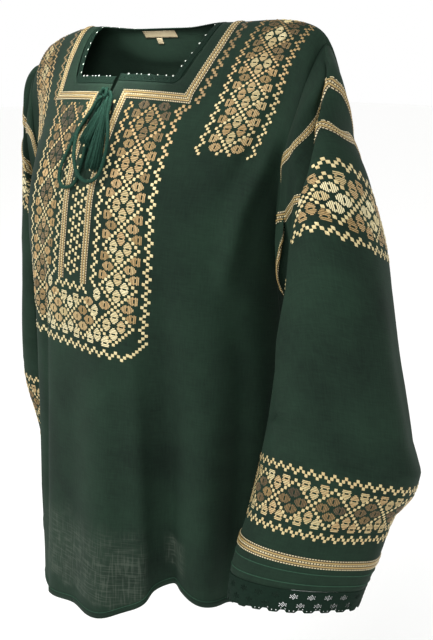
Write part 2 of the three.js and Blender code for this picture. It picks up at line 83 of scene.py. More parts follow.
def ease(t):  # 3t^2 - 2t^3
    t = clamp01(t)
    return t * t * (3 - 2 * t)


def mixed(a, b, t):
    return a + (b - a) * t


def bell(t):  # exp(-t^2)
    return np.exp(-np.square(t))


def unit(v):
    return v / np.maximum(np.linalg.norm(v, axis=-1, keepdims=True), 1e-9)


def lengths(points):
    # the way run along a line of points up to each of them
    return np.concatenate([[0], np.cumsum(np.linalg.norm(np.diff(points, axis=0), axis=1))])


def knotWeights(at, t):
    # cubic Hermite weights of the four knots round t, each slope taken from its neighbours
    at, t = np.asarray(at, float), np.asarray(t, float)
    last = len(at) - 1
    i = np.clip(np.searchsorted(at, t, side="right") - 1, 0, last - 1)
    before, after = np.maximum(i - 1, 0), np.minimum(i + 2, last)
    span = at[i + 1] - at[i]
    u = (t - at[i]) / span
    inward = (u**3 - 2 * u**2 + u) * span / (at[i + 1] - at[before])
    outward = (u**3 - u**2) * span / (at[after] - at[i])
    start, end = 2 * u**3 - 3 * u**2 + 1, 3 * u**2 - 2 * u**3
    return [(before, -inward), (i, start - outward), (i + 1, end + inward), (after, outward)]


def along(table, t):
    # a smooth curve through the rows of a table, evaluated at every t
    table = np.asarray(table, float)
    return sum(weight[..., None] * table[index, 1:] for index, weight in knotWeights(table[:, 0], t))


def shareAlong(chains, share):
    # points at shares of the length of each chain (rows, samples, 3) -> (rows, shares, 3)
    steps = np.linalg.norm(np.diff(chains, axis=1), axis=-1)
    total = np.concatenate([np.zeros((len(chains), 1)), np.cumsum(steps, axis=1)], axis=1)
    shift = np.arange(len(chains))[:, None] * 1e5
    known = (total + shift).ravel()
    wanted = share * total[:, -1:] + shift
    found = [np.interp(wanted.ravel(), known, chains[..., k].ravel()) for k in range(3)]
    return np.stack(found, axis=-1).reshape(*wanted.shape, 3)


class Surface:
    # a sheet known on a grid: position and outward normal at any (column, row) by bilinear lookup
    def __init__(self, points, outward, wraps=False):
        self.points, self.outward, self.wraps = points, outward, wraps
        self.renew()

    def renew(self):
        # normals from the cross product of the slopes down and across
        if self.wraps:
            ring = self.points[:, :-1]
            across = (np.roll(ring, -1, axis=1) - np.roll(ring, 1, axis=1)) / 2
            across = np.concatenate([across, across[:, :1]], axis=1)
        else:
            across = np.gradient(self.points, axis=1)
        self.normals = unit(np.cross(np.gradient(self.points, axis=0), across)) * self.outward

    def raised(self, relief):
        self.points = self.points + self.normals * relief[..., None]
        self.renew()

    def at(self, column, row, lift=0.0):
        rows, columns = self.points.shape[:2]
        row = np.clip(row, 0, rows - 1.001)
        if self.wraps:
            column = np.mod(column, columns - 1)
        column = np.clip(column, 0, columns - 1.001)
        r, c = row.astype(int), column.astype(int)
        v, u = (row - r)[..., None], (column - c)[..., None]
        cells = [(r, c, (1 - v) * (1 - u)), (r, c + 1, (1 - v) * u),
                 (r + 1, c, v * (1 - u)), (r + 1, c + 1, v * u)]
        place, normal = (sum(grid[i, j] * w for i, j, w in cells) for grid in (self.points, self.normals))
        return place + unit(normal) * np.asarray(lift, float)[..., None]


def creased(table, across, row):
    # the sum of height(row) exp(-((across - line(row)) / width)^2)
    relief = np.zeros(np.broadcast(across, row).shape)
    for line, heights, width in table:
        middle = np.interp(row, *np.transpose(line))
        relief += np.interp(row, *np.transpose(heights)) * bell((across - middle) / width)
    return relief


body = {"underarm": 245, "length": 678, "slitEnd": 195, "slitOpen": 1, "slitSpread": 2.5,
        "neckDepth": 82, "backDepth": 4, "tilt": 9, "sideRise": 42, "cornerRound": 11}
# half widths of the neck's cloth edge and of its braid's inner edge, by distance down the front
neckLines = {
    ("neck", 1): [(0, 107), (20, 107.5), (40, 104.5), (60, 99.5), (82, 93)],
    ("braid", 1): [(0, 122), (20, 122.5), (40, 119.5), (60, 114.5), (91.5, 104.5)],
    ("neck", -1): [(0, 100), (20, 99), (40, 94.5), (60, 87), (82, 79)],
    ("braid", -1): [(0, 112), (20, 111), (40, 107.5), (60, 105), (91.5, 102)],
}
rightSag = [(0, 0), (42, 0.5), (82, 4), (101.5, 4), (148, 0)]

# q down the front from the shoulder line and, below zero, down the back: the middle (y, z),
# the side edge (x, y, z), and how full the curve between them is
bodyRows = [
    (-700, 122, -663, 180, 15, -678, 2.3, 2.1, 2.0),
    (-520, 111, -484, 178, 14, -500, 2.3, 2.1, 2.0),
    (-371, 104, -334, 178, 12, -352, 2.3, 2.1, 2.0),
    (-295, 103, -259, 178, 10, -282, 2.3, 2.1, 2.0),
    (-245, 101, -209, 180, 4, -238, 2.3, 2.1, 2.0),
    (-195, 95, -160, 190, 36, -190, 2.3, 2.2, 2.2),
    (-130, 75, -98, 207, 52, -132, 2.5, 2.4, 2.4),
    (-88, 56, -60, 218, 48, -96, 2.6, 2.6, 2.6),
    (-44, 30, -24, 226, 36, -60, 2.6, 2.4, 2.6),
    (0, 0, 2, 225, 15, -30, 2.8, 2.0, 3.0),
    (44, -32, -26, 226, -10, -60, 2.5, 0.95, 2.8),
    (88, -57, -61, 218, -18, -98, 2.2, 0.85, 3.0),
    (130, -78, -98, 207, -20, -134, 2.2, 1.0, 2.8),
    (195, -104, -159, 190, -10, -190, 2.2, 1.6, 2.2),
    (245, -113, -209, 180, 4, -238, 2.2, 2.1, 2.0),
    (295, -119, -259, 178, 10, -282, 2.2, 2.1, 2.0),
    (371, -121, -334, 178, 12, -352, 2.2, 2.1, 2.0),
    (520, -128, -484, 178, 14, -500, 2.2, 2.1, 2.0),
    (700, -137, -663, 180, 15, -678, 2.2, 2.1, 2.0),
]
# vertical folds at the hem: place across, outward
frontFolds = [(-252, 4), (-190, 11), (-140, -9), (-95, -9), (-48, 3), (0, 0), (55, 9),
              (100, -30), (130, -26), (160, -8), (205, -5), (252, 0)]
backFolds = [(-252, 0), (-205, 8), (-150, -12), (-95, 9), (-35, -8), (25, 9), (85, -11),
             (150, 10), (200, -7), (252, 0)]
foldGrowth = [(200, 0), (260, 0.05), (371, 0.3), (520, 0.7), (700, 1)]

# soft folds in the cloth: their line (row, place across), their height along it and their width
frontCreases = [
    ([(300, 86), (700, 92)], [(240, 0), (330, 3), (400, 6), (480, 10), (690, 11)], 14),
    ([(300, 121), (700, 125)], [(230, 0), (320, -4), (400, -8), (480, -13), (690, -13)], 13),
    ([(380, 170), (690, 168)], [(370, 0), (450, 4), (560, 6), (690, 5)], 16),
    ([(280, 190), (380, 205), (690, 204)], [(270, 0), (340, -4), (450, -8), (560, -12), (690, -10)], 15),
    ([(280, -64), (640, -66)], [(260, 0), (330, -4), (560, -5), (640, -2)], 7),
    ([(280, -90), (640, -92)], [(260, 0), (330, 4), (560, 6), (640, 4)], 14),
    ([(40, 220), (88, 208), (130, 194), (195, 176)], [(40, 0), (100, -7), (150, -6), (200, 0)], 12),
    ([(110, 214), (150, 204), (195, 192), (260, 182)], [(110, 0), (150, 11), (230, 11), (290, 0)], 11),
    ([(160, -120), (270, -120)], [(120, 0), (180, 3), (230, 6), (290, 3), (340, 0)], 42),
    ([(40, -224), (195, -186)], [(40, 0), (110, -5), (180, -5), (235, 0)], 13),
]
backCreases = [
    ([(200, 120), (690, 128)], [(180, 0), (320, 4), (480, 6), (690, 6)], 18),
    ([(200, 84), (690, 90)], [(180, 0), (320, -4), (480, -6), (690, -7)], 15),
    ([(240, -60), (690, -52)], [(220, 0), (360, -4), (520, -6), (690, -6)], 17),
    ([(240, -98), (690, -96)], [(220, 0), (360, 4), (520, 6), (690, 6)], 16),
    ([(40, 222), (195, 186)], [(40, 0), (110, -5), (180, -6), (235, 0)], 13),
    ([(40, -222), (195, -186)], [(40, 0), (110, -5), (180, -6), (235, 0)], 13),
    ([(90, 160), (260, 120)], [(70, 0), (140, 4), (220, 3), (280, 0)], 20),
]
# how the back neck stands up behind: q, backward, upward
backNeck = [(-110, 0, 0), (-88, 0, -3), (-60, 1, -8), (-44, 3, -12), (-25, 7, -12), (-4, 11, -6),
            (4, 13, -5), (24, 6, -2), (60, 0, 0)]


def tilted(points):
    # the shoulders are carried unevenly: z rises on the left and falls on the right by the tilt
    x, z = points[..., 0], points[..., 2]
    outward, high = (np.abs(x) - 110) / 110, (z + 420) / 320
    lift = body["tilt"] * ease(outward) * ease(high) * np.sign(x)
    return points + lift[..., None] * [0, 0, 1]


def neckLine(kind, side, q):
    table = neckLines[kind, side]
    return along(table, np.clip(q, 0, table[-1][0]))[..., 0]


def sagged(p, q):
    # the right half of the neck's front edge hangs lower
    last = rightSag[-1][0]
    lower = along(rightSag, np.clip(q, 0, last))[..., 0] * clamp01((200 + p) / 80)
    return q + np.where((p < 0) & (q > 0) & (q < last), lower, 0)


gridStep = 2.5
rowsQ = np.arange(-690, 690.1, gridStep)
shares = np.linspace(-1, 1, 212)  # an even count, so that none falls in the slit


def slitShare(q):
    # 1 at the slit's top and 0 at its foot
    return clamp01((body["slitEnd"] - q) / (body["slitEnd"] - body["neckDepth"]))


def bodyGrid():
    # half row: x = xEdge sin^(2/fx), y and z mixed from edge to middle by cos^(2/fy), cos^(2/fz)
    table = along(bodyRows, rowsQ)
    mirror = along(bodyRows, -rowsQ)
    shared = np.abs(rowsQ) >= body["underarm"]
    edge = np.where(shared[:, None], (table + mirror)[:, 2:5] / 2, table[:, 2:5])
    angle = np.linspace(0, math.pi / 2, 161)[None, :]
    sine, cosine = np.sin(angle), np.maximum(np.cos(angle), 0)
    full = table[:, 5:8, None]
    x = edge[:, :1] * sine ** (2 / full[:, 0])
    y = mixed(edge[:, 1:2], table[:, :1], cosine ** (2 / full[:, 1]))
    z = mixed(edge[:, 2:3], table[:, 1:2], cosine ** (2 / full[:, 2]))
    chains = np.stack([x, y, z], axis=-1)
    edgeLength = np.linalg.norm(np.diff(chains, axis=1), axis=-1).sum(axis=1)
    q = rowsQ[:, None]
    p = shares[None, :] * edgeLength[:, None]
    parted = body["slitSpread"] * slitShare(q) * clamp01(q / body["neckDepth"])
    place = np.abs(p) + parted * clamp01(1 - np.abs(p) / 90)
    points = shareAlong(chains, np.minimum(place / edgeLength[:, None], 1))
    points[..., 0] *= np.sign(p)
    # the hem's folds are pushed outwards, deeper lower down and flat at the side edges
    growth = np.where(np.abs(q) > 200, along(foldGrowth, np.abs(q))[..., 0], 0)
    free = clamp01((edgeLength[:, None] - np.abs(p)) / 30)
    folds = np.where(q < 0, along(backFolds, p)[..., 0], along(frontFolds, p)[..., 0])
    away = np.stack([points[..., 0] / 180, (points[..., 1] - 12) / 130, 0 * p], axis=-1)
    points = points + unit(away) * (growth * free * folds)[..., None]
    # the back neck stands up
    first, last = backNeck[0][0], backNeck[-1][0]
    stand = along(backNeck, np.clip(q, first, last)) * ease((118 - np.abs(p)) / 84)[..., None]
    return tilted(points + stand @ [[0, 1, 0], [0, 0, 1]]), edgeLength, p, q


panelPoints, edgeLengths, panelP, panelQ = bodyGrid()
panels = Surface(panelPoints, 1)
behind, before = creased(backCreases, panelP, -panelQ), creased(frontCreases, panelP, panelQ)
panels.raised(np.where(panelQ < 0, behind, before))


def edgeAt(q):
    return np.interp(q, rowsQ, edgeLengths)


def bodyAt(p, q, lift=0.0):
    # the body's cloth: p across from the middle, q down the front or, below zero, down the back
    p, q = np.broadcast_arrays(np.asarray(p, float), np.asarray(q, float))
    column = (p / edgeAt(q) + 1) / 2 * (len(shares) - 1)
    return panels.at(column, (q - rowsQ[0]) / gridStep, lift)


def onBody(spots, h):
    # the same for places (p, q), the neck's sag included
    p, q = spots[..., 0], spots[..., 1]
    return bodyAt(p, sagged(p, q), h)


# s from the armhole seam: centre, the vectors to the outer and front points, underarm drop
leftRings = [
    (40, 228, -6, -158, 30, 5, 96, 0, -35, 36, 0),
    (82, 237, 1, -161, 33, -7, 60, 2, -46, 37, 52),
    (120, 246, 6, -163, 38, -10, 32, 6, -52, 36, 92),
    (192, 255, 6, -195, 49, -12, -2, 6, -62, 26, 106),
    (300, 262, 0, -296, 59, -4, 0, 2, -62, 18, 44),
    (430, 270, -3, -420, 67, 9, -1, -8, -63, 20, 4),
    (500, 261, -17, -477, 61, 13, -2, -6, -60, 13, 0),
    (525, 257, -25, -500, 60, 13, -1, -6, -59, 13, 0),
    (553, 253, -35, -531, 58, 13, 4, -6, -59, 14, 0),
    (575, 252, -41, -555, 56, 13, 8, -5, -58, 14, 0),
]
rightRings = [
    (15, 214, 12, -140, 30, 2, 104, -1, -37, 14, 0),
    (40, 229, 18, -156, 32, 0, 98, -1, -38, 28, 0),
    (82, 232, 28, -168, 34, -2, 60, 2, -46, 24, 38),
    (120, 239, 36, -176, 38, -4, 36, 4, -50, 20, 68),
    (192, 245, 48, -212, 44, -6, 6, 4, -60, 10, 80),
    (300, 247, 47, -312, 50, -4, 2, 2, -68, 0, 30),
    (430, 247, 48, -440, 53, 0, 4, 0, -74, -10, 0),
    (500, 242, 56, -507, 48, 0, 4, 0, -70, -12, 0),
    (553, 238, 60, -558, 46, 0, 4, 0, -67, -12, 0),
    (575, 237, 62, -579, 46, 0, 4, 0, -66, -12, 0),
]
# the fold down the front of a sleeve: s, turn, how far the cloth laps over it, its depth, and
# how far the cloth past it has slipped down
sleeveFolds = {
    "left": [(0, 0.01, 0, 0, 0), (12, 0.012, 4, 3, 0), (26, 0.008, 8, 7, 0), (42, 0.01, 12, 10, 0),
             (50, 0.011, 13, 11, 0), (63, 0.02, 14, 12, 0), (75, 0.03, 14, 13, 0), (93, 0.048, 14, 14, 0),
             (118, 0.075, 14, 15, 0), (135, 0.098, 14, 15, 0), (152, 0.127, 14, 15, 0),
             (178, 0.165, 14, 15, 0), (200, 0.2, 14, 16, 0), (235, 0.24, 13, 15, 0),
             (300, 0.285, 8, 9, 0), (380, 0.31, 0, 3, 0), (430, 0.31, 0, 0, 0), (600, 0.31, 0, 0, 0)],
    "right": [(0, 0.04, 0, 0, 0), (18, 0.055, 0, 7, 3), (40, 0.075, 0, 12, 10), (82, 0.12, 0, 17, 34),
              (120, 0.15, 0, 17, 40), (192, 0.21, 0, 17, 10), (300, 0.27, 0, 11, 0), (430, 0.3, 0, 3, 0),
              (600, 0.3, 0, 0, 0)],
}
sleeve = {"cuff": 553, "girth": 420}
# soft folds in the sleeves, in the same way as in the body
sleeveCreases = [
    ([(0, 150), (90, 150)], [(4, 0), (24, -11), (70, -12), (130, 0)], 40),
    ([(240, 112), (400, 108)], [(240, 0), (290, 3), (380, 3), (430, 0)], 22),
    ([(250, 62), (410, 54)], [(250, 0), (310, -4), (390, -4), (430, 0)], 24),
    ([(180, 4), (420, -6)], [(170, 0), (260, 3), (380, 4), (430, 2)], 18),
    ([(250, -60), (520, -70)], [(230, 0), (330, 5), (440, 6), (530, 0)], 22),
    ([(250, -108), (520, -112)], [(230, 0), (330, -5), (440, -6), (530, 0)], 20),
    ([(120, -140), (420, -150)], [(100, 0), (220, 5), (380, 4), (450, 0)], 20),
    ([(392, -20), (460, -20)], [(384, 0), (414, 7), (438, 1), (452, 0)], 60),
    ([(450, -20), (530, -20)], [(440, 0), (472, -7), (512, -2), (534, 0)], 60),
    ([(404, 44), (424, 44)], [(402, 0), (409, 1.5), (414, -3.5), (420, 0)], 30),
    ([(366, 138), (396, 122)], [(372, 0), (378, -3.5), (386, 2.5), (396, 0)], 22),
]

rowsS = np.arange(0, 580.1, gridStep)
turns = np.linspace(0, 1, 361)


def foldTurn(side, s):
    return along(sleeveFolds[side], s)[..., 0]


def sleeveForm(side):
    # rings: centre + outer cos a + front sin a, sagging by drop ((1 - cos a) / 2)^3 underneath
    table = np.asarray(leftRings if side > 0 else rightRings, float)
    angle = np.linspace(0, 2 * math.pi, 385)[None, :, None]
    centre, outer, front = table[:, None, 1:4], table[:, None, 4:7], table[:, None, 7:10]
    rings = centre + outer * np.cos(angle) + front * np.sin(angle)
    rings[..., 2] -= table[:, 10:] * ((1 - np.cos(angle[..., 0])) / 2) ** 3
    rings[..., 0] *= side
    spread = shareAlong(tilted(rings), np.broadcast_to(turns, (len(table), len(turns))))
    down = 2 * body["underarm"] * np.where(turns <= 0.5, turns, turns - 1)
    seam = along(bodyRows, down)[:, 2:5] * [side, 1, 1]
    knots = np.concatenate([tilted(seam)[None], spread])
    at = np.concatenate([[0], table[:, 0]])
    points = sum(w[:, None, None] * knots[i] for i, w in knotWeights(at, rowsS))
    return Surface(points, -side, True)


def aroundFrom(turn):
    # mm round the sleeve from its outer side, half its girth to each side
    return (np.mod(turn + 0.5, 1) - 0.5) * sleeve["girth"]


def sleeveSurface(name, side):
    # columns count from the fold; the cloth slides over it by `lap` and dips behind it by `depth`
    start, lap, depth, slip = np.moveaxis(along(sleeveFolds[name], rowsS)[..., None], 1, 0)
    past = turns[None, :]
    away = aroundFrom(past)
    slide = lap * np.where(away < 0, ease((away + 90) / 90), 1 - ease(away / 9))
    sink = depth * ease(away / 8) * (1 - ease((away - 16) / 34)) - 0.12 * lap * bell((away + 7) / 9)
    row = rowsS[:, None] + slip * ease(past / 0.04) * ease((0.5 - past) / 0.15)
    turn = start + past + slide / sleeve["girth"]
    points = sleeveForm(side).at(turn * (len(turns) - 1), row / gridStep, -sink)
    made = Surface(points, -side, True)
    made.raised(creased(sleeveCreases, aroundFrom(start + past), rowsS[:, None]))
    return made


sleeves = {"left": sleeveSurface("left", 1), "right": sleeveSurface("right", -1)}


def sleeveAt(side, turn, s, lift=0.0):
    # the sleeve's cloth: turn round it from its outer side, s down from the armhole seam
    turn, s = np.broadcast_arrays(np.asarray(turn, float), np.asarray(s, float))
    return sleeves[side].at((turn - foldTurn(side, s)) * (len(turns) - 1), s / gridStep, lift)


def piece(name, points, faces, material, node=None, uv=None, tone=None, weld=False, thick=0):
    # a mesh of points in millimetres; faces is one array of corners or a list of them
    groups = [np.asarray(f, np.int64) for f in (faces if isinstance(faces, list) else [faces])]
    first = place = np.arange(len(points))
    if weld:
        found = np.unique(np.round(points, 3), axis=0, return_index=True, return_inverse=True)
        first, place = found[1], found[2].ravel()
    corners = np.concatenate([f.ravel() for f in groups])
    sizes = np.concatenate([np.full(len(f), f.shape[1]) for f in groups])
    mesh = bpy.data.meshes.new(name)
    mesh.vertices.add(len(first))
    mesh.vertices.foreach_set("co", (points[first] * mm).astype(np.float32).ravel())
    mesh.loops.add(len(corners))
    mesh.loops.foreach_set("vertex_index", place[corners].astype(np.int32))
    mesh.polygons.add(len(sizes))
    starts = np.concatenate([[0], np.cumsum(sizes)[:-1]])
    mesh.polygons.foreach_set("loop_start", starts.astype(np.int32))
    mesh.update(calc_edges=True)
    if uv is not None:
        layer = mesh.uv_layers.new(name="cloth")
        layer.data.foreach_set("uv", (uv[corners] * mm).astype(np.float32).ravel())
    if tone is not None:
        shade = mesh.attributes.new("tone", "FLOAT", "POINT")
        shade.data.foreach_set("value", tone[first].astype(np.float32))
    mesh.polygons.foreach_set("use_smooth", np.ones(len(sizes), bool))
    mesh.validate()
    mesh.materials.append(material)
    obj = addObject(name, mesh)
    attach(obj, "root")
    if node:
        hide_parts(node)
    if thick:
        shell = obj.modifiers.new("shell", "SOLIDIFY")
        shell.thickness, shell.offset, shell.use_even_offset = thick * mm, 0, False
    return obj


def gridFaces(rows, columns, flip=False):
    # quads of a grid whose corners are numbered row by row
    a = (np.arange(rows - 1)[:, None] * columns + np.arange(columns - 1)).ravel()
    quads = np.stack([a, a + columns, a + columns + 1, a + 1], axis=1)
    return quads[:, ::-1] if flip else quads


def linear(hexColour):
    raw = [int(hexColour[i:i + 2], 16) / 255 for i in (1, 3, 5)]
    return [c / 12.92 if c <= 0.04045 else ((c + 0.055) / 1.055) ** 2.4 for c in raw] + [1]


def wire(tree, made, inputs):
    # each input, named or numbered, takes its value or a link from another node
    for key, value in inputs.items():
        if isinstance(value, bpy.types.NodeSocket):
            tree.links.new(value, made.inputs[key])
        else:
            made.inputs[key].default_value = value


def addNode(tree, kind, inputs, out=0, **settings):
    # a node with its settings and inputs; what comes back is one of its outputs
    made = tree.nodes.new("ShaderNode" + kind)
    for key, value in settings.items():
        setattr(made, key, value)
    wire(tree, made, inputs)
    return made.outputs[out]


def newMaterial(name):
    material = bpy.data.materials.new(name)
    material.use_nodes = True
    tree = material.node_tree
    tree.nodes.clear()
    shader = tree.nodes.new("ShaderNodeBsdfPrincipled")
    wire(tree, tree.nodes.new("ShaderNodeOutputMaterial"), {0: shader.outputs[0]})
    return material, tree, shader


# painted light: where light shows through above the hem, it is painted into the cloth's colour; places in
# metres of cloth: rise and fall across, then down
sheer = {
    "wide": ((-0.09, -0.05), (0.086, 0.1), (0.56, 0.61), (0.658, 0.668)),
    "small": ((0.112, 0.122), (0.138, 0.152), (0.572, 0.585), (0.612, 0.622)),
}


def window(tree, value, rise, fall):
    # 0, up to 1 between the two values of rise, and back to 0 between those of fall
    ends = [addNode(tree, "MapRange", {0: value, 1: start, 2: end}, interpolation_type="SMOOTHSTEP")
            for start, end in (rise, fall[::-1])]
    return addNode(tree, "Math", dict(enumerate(ends)), operation="MULTIPLY")


def paintedSheerLight(tree, uv):
    # painted light: where the single cloth hangs clear above the hem, the light showing between its slubs is
    # painted as a paler green; the slubs' pattern is the cloth's own
    across, down = (addNode(tree, "SeparateXYZ", {0: uv}, axis) for axis in (0, 1))
    ragged = addNode(tree, "TexNoise", {"Vector": uv, "Scale": 40, "Detail": 2}, noise_dimensions="2D")
    down = addNode(tree, "Math", {0: down}, operation="ABSOLUTE")
    down = addNode(tree, "Math", {0: ragged, 1: 0.03, 2: down}, operation="MULTIPLY_ADD")
    spots, slubs = [], []
    for spot in sheer.values():
        ends = {0: window(tree, across, *spot[:2]), 1: window(tree, down, *spot[2:])}
        spots.append(addNode(tree, "Math", ends, operation="MULTIPLY"))
    for stretch in ((620, 46, 1), (46, 620, 1)):
        lines = addNode(tree, "Mapping", {"Vector": uv, "Scale": stretch})
        noise = addNode(tree, "TexNoise", {"Vector": lines, "Scale": 1, "Detail": 1}, noise_dimensions="2D")
        slubs.append(addNode(tree, "MapRange", {0: noise, 1: 0.5, 2: 0.68, 4: 0.55}))
    where = addNode(tree, "Math", dict(enumerate(spots)), operation="MAXIMUM")
    both = addNode(tree, "Math", dict(enumerate(slubs)), operation="ADD")
    both = addNode(tree, "Math", {0: both, 1: 0.16}, operation="ADD", use_clamp=True)
    return addNode(tree, "Math", {0: where, 1: both}, operation="MULTIPLY")


def slubCloth(name, dark, light, roughness=0.82):
    # cotton and linen, plain woven with slubs: matt, with faint uneven threads both ways
    material, tree, shader = newMaterial(name)
    uv = addNode(tree, "UVMap", {}, uv_map="cloth")
    # threads lie about 0.5 mm apart; they are drawn 1.4 mm apart so that they show
    ways = []
    for stretch in ((700, 70, 1), (70, 700, 1)):
        lines = addNode(tree, "Mapping", {"Vector": uv, "Scale": stretch})
        noise = addNode(tree, "TexNoise", {"Vector": lines, "Scale": 1, "Detail": 2}, noise_dimensions="2D")
        ways.append(noise)
    threads = addNode(tree, "Math", dict(enumerate(ways)), operation="ADD")
    patches = addNode(tree, "TexNoise", {"Vector": uv, "Scale": 14, "Detail": 3}, noise_dimensions="2D")
    even = addNode(tree, "Math", {0: threads, 1: 0.45, 2: patches}, operation="MULTIPLY_ADD")
    share = addNode(tree, "MapRange", {0: even, 1: 0.55, 2: 1.35})
    colour = addNode(tree, "Mix", {0: share, 6: linear(dark), 7: linear(light)}, 2, data_type="RGBA")
    # painted light: the paler green where light shows through the sheer cloth
    lit = {0: paintedSheerLight(tree, uv), 6: colour, 7: linear("#363F36")}
    colour = addNode(tree, "Mix", lit, 2, data_type="RGBA")
    bump = addNode(tree, "Bump", {"Strength": 0.25, "Distance": 0.0004, "Height": threads})
    wire(tree, shader, {"Base Color": colour, "Roughness": roughness, "Normal": bump,
                        "Sheen Weight": 0.06, "Sheen Roughness": 0.5, "Sheen Tint": linear("#5C7A68"),
                        "Specular IOR Level": 0.12})
    return material


def goldThread(name, stops, roughness, satin=False):
    # lurex thread laid in short flat stitches: a metal film that glints from its rounded top
    material, tree, shader = newMaterial(name)
    tone = addNode(tree, "Attribute", {}, "Fac", attribute_name="tone")
    place = addNode(tree, "TexCoord", {}, "Object")
    grain = addNode(tree, "TexNoise", {"Vector": place, "Scale": 900, "Detail": 1})
    fibre = addNode(tree, "MapRange", {0: grain, 1: 0.3, 2: 0.7, 3: -0.07, 4: 0.07})
    if satin:
        # the satin's threads lie slantwise, 0.6 mm apart, and are drawn 1.2 mm apart
        uv = addNode(tree, "UVMap", {}, uv_map="cloth")
        slant = addNode(tree, "Mapping", {"Vector": uv, "Rotation": (0, 0, 0.6)})
        wave = addNode(tree, "TexWave", {"Vector": slant, "Scale": 260, "Distortion": 1}, 1)
        fibre = addNode(tree, "Math", {0: wave, 1: 0.22, 2: fibre}, operation="MULTIPLY_ADD")
        fibre = addNode(tree, "Math", {0: fibre, 1: 0.1}, operation="SUBTRACT")
    both = addNode(tree, "Math", {0: tone, 1: fibre}, operation="ADD", use_clamp=True)
    colour = addNode(tree, "ValToRGB", {0: both})
    ramp = colour.node.color_ramp
    while len(ramp.elements) < len(stops):
        ramp.elements.new(0.5)
    for element, (at, shade) in zip(ramp.elements, stops):
        element.position, element.color = at, linear(shade)
    wire(tree, shader, {"Base Color": colour, "Roughness": roughness, "Metallic": 0.25})
    return material


def greenThread(name, dark, light):
    # mercerised cotton, twisted: a soft gloss along each ply
    material, tree, shader = newMaterial(name)
    place = addNode(tree, "TexCoord", {}, "Object")
    grain = addNode(tree, "TexNoise", {"Vector": place, "Scale": 600, "Detail": 2})
    colour = addNode(tree, "Mix", {0: grain, 6: linear(dark), 7: linear(light)}, 2, data_type="RGBA")
    bump = addNode(tree, "Bump", {"Strength": 0.3, "Distance": 0.0003, "Height": grain})
    wire(tree, shader, {"Base Color": colour, "Roughness": 0.8, "Normal": bump, "Specular IOR Level": 0.08})
    return material


# tones of the gold from its brightest to its deepest, for the stitches and for the braid
goldTones = [(0.0, "#D6CBA2"), (0.25, "#B9A97A"), (0.45, "#AE9062"), (0.6, "#927748"),
             (0.8, "#6B5532"), (1.0, "#3E311C")]
braidTones = [(0.0, "#C2B58F"), (0.2, "#AC9760"), (0.45, "#826938"), (0.8, "#3B2E17"), (1.0, "#1F190C")]
greenCloth = slubCloth("green slub cotton", "#0C1912", "#1A2D21")
goldStitches = goldThread("gold lurex stitches", goldTones, 0.45)
goldBraid = goldThread("woven gold braid", braidTones, 0.4, satin=True)
labelTape = slubCloth("beige satin label tape", "#85795F", "#998D72", 0.6)
greenCord = greenThread("green twisted cord", "#0B1D16", "#244538")
# painted highlight: pale colour for the glints along the neck lace's inner edge
picotHighlightThread = greenThread("painted picot highlights", "#8E978C", "#D5D9CF")
greenStitch = greenThread("green sewing thread", "#1C3328", "#34503F")
greenLace = greenThread("green crochet thread", "#08150F", "#12251B")
print("materials made")


# a three-ply cord: swell is the radius at the top of a ply as a share of the diameter
tie = {"diameter": 3.8, "sides": 14, "step": 0.9, "plies": 3, "twist": 9.0, "swell": 0.56, "groove": 0.34}
leftLoop = [(-3, -71.4, -66.8), (-6, -73, -72), (-11, -76, -83), (-19, -81, -96), (-28, -87, -110),
            (-33, -94, -126), (-36, -102, -143), (-32, -108, -156), (-20, -111, -163),
            (-8, -108, -160), (-4, -104, -150), (-3, -95, -127), (-4, -83.6, -101),
            (-4.4, -75.4, -81.5), (-1.6, -71.4, -72.6)]
rightLoop = [(11.2, -70.8, -66.2), (15.4, -72.4, -71.4), (18.6, -77.6, -81), (21.4, -82.4, -90.3),
             (28.4, -87.4, -101.3), (34.6, -93.3, -113.5), (38.2, -98.7, -124.7),
             (39.7, -103.8, -135.6), (37.6, -108, -145.4), (28.8, -110.7, -152.3),
             (14.9, -111.3, -152.3), (2.3, -109.3, -145.8), (-7.6, -104.9, -134.7),
             (-16.1, -98.1, -122.5), (-20, -91, -108.8), (-15.6, -85.9, -97.3),
             (-5.6, -82.8, -85.5), (0.1, -79.2, -75.9), (4.2, -76.2, -71.4)]
# the two turns of the knot: half width, half height and lean; their cord is a little thinner
knot = {"at": (4, -71, -67), "turns": [(3.4, 4.2, 0.5), (3.0, 3.6, -0.9)], "radius": 1.9,
        "depth": 2.2, "sway": 1.2}
# each tassel: its ends, and the least share of its length that a strand has
tassels = {"left": ((6, -70.6, -72.9), (6, -101, -119.8), 0.9),
           "right": ((9.6, -72, -71.3), (26.2, -108, -143.2), 0.88)}
strands = {"count": 170, "radius": 0.42, "sides": 4, "wave": 0.5}
# half width of a tassel by share of its length: bound at the top, then spreading
tasselShape = [(0, 1.2), (0.1, 2.0), (0.2, 2.3), (0.27, 3.4), (0.33, 2.9), (0.5, 4.8), (0.8, 6.9), (1, 7.6)]


def smoothRoute(points, step):
    # centripetal curve through the points, then points at an even step along it
    points = np.asarray(points, float)
    knots = np.concatenate([[0], np.cumsum(np.linalg.norm(np.diff(points, axis=0), axis=1) ** 0.5)])
    fine = along(np.column_stack([knots, points]), np.linspace(0, knots[-1], 900))
    total = lengths(fine)
    at = np.linspace(0, total[-1], max(int(total[-1] / step), 4))
    return np.stack([np.interp(at, total, fine[:, k]) for k in range(3)], axis=1), total[-1]


def frames(route):
    # two directions across the route at each of its points, carried along without turning
    tangent = unit(np.gradient(route, axis=0))
    side = np.zeros_like(route)
    start = np.cross(tangent[0], [0.3, 1, 0.2])
    for i, t in enumerate(tangent):
        start = start - t * (start @ t)
        start = start / np.linalg.norm(start)
        side[i] = start
    return side, np.cross(tangent, side)


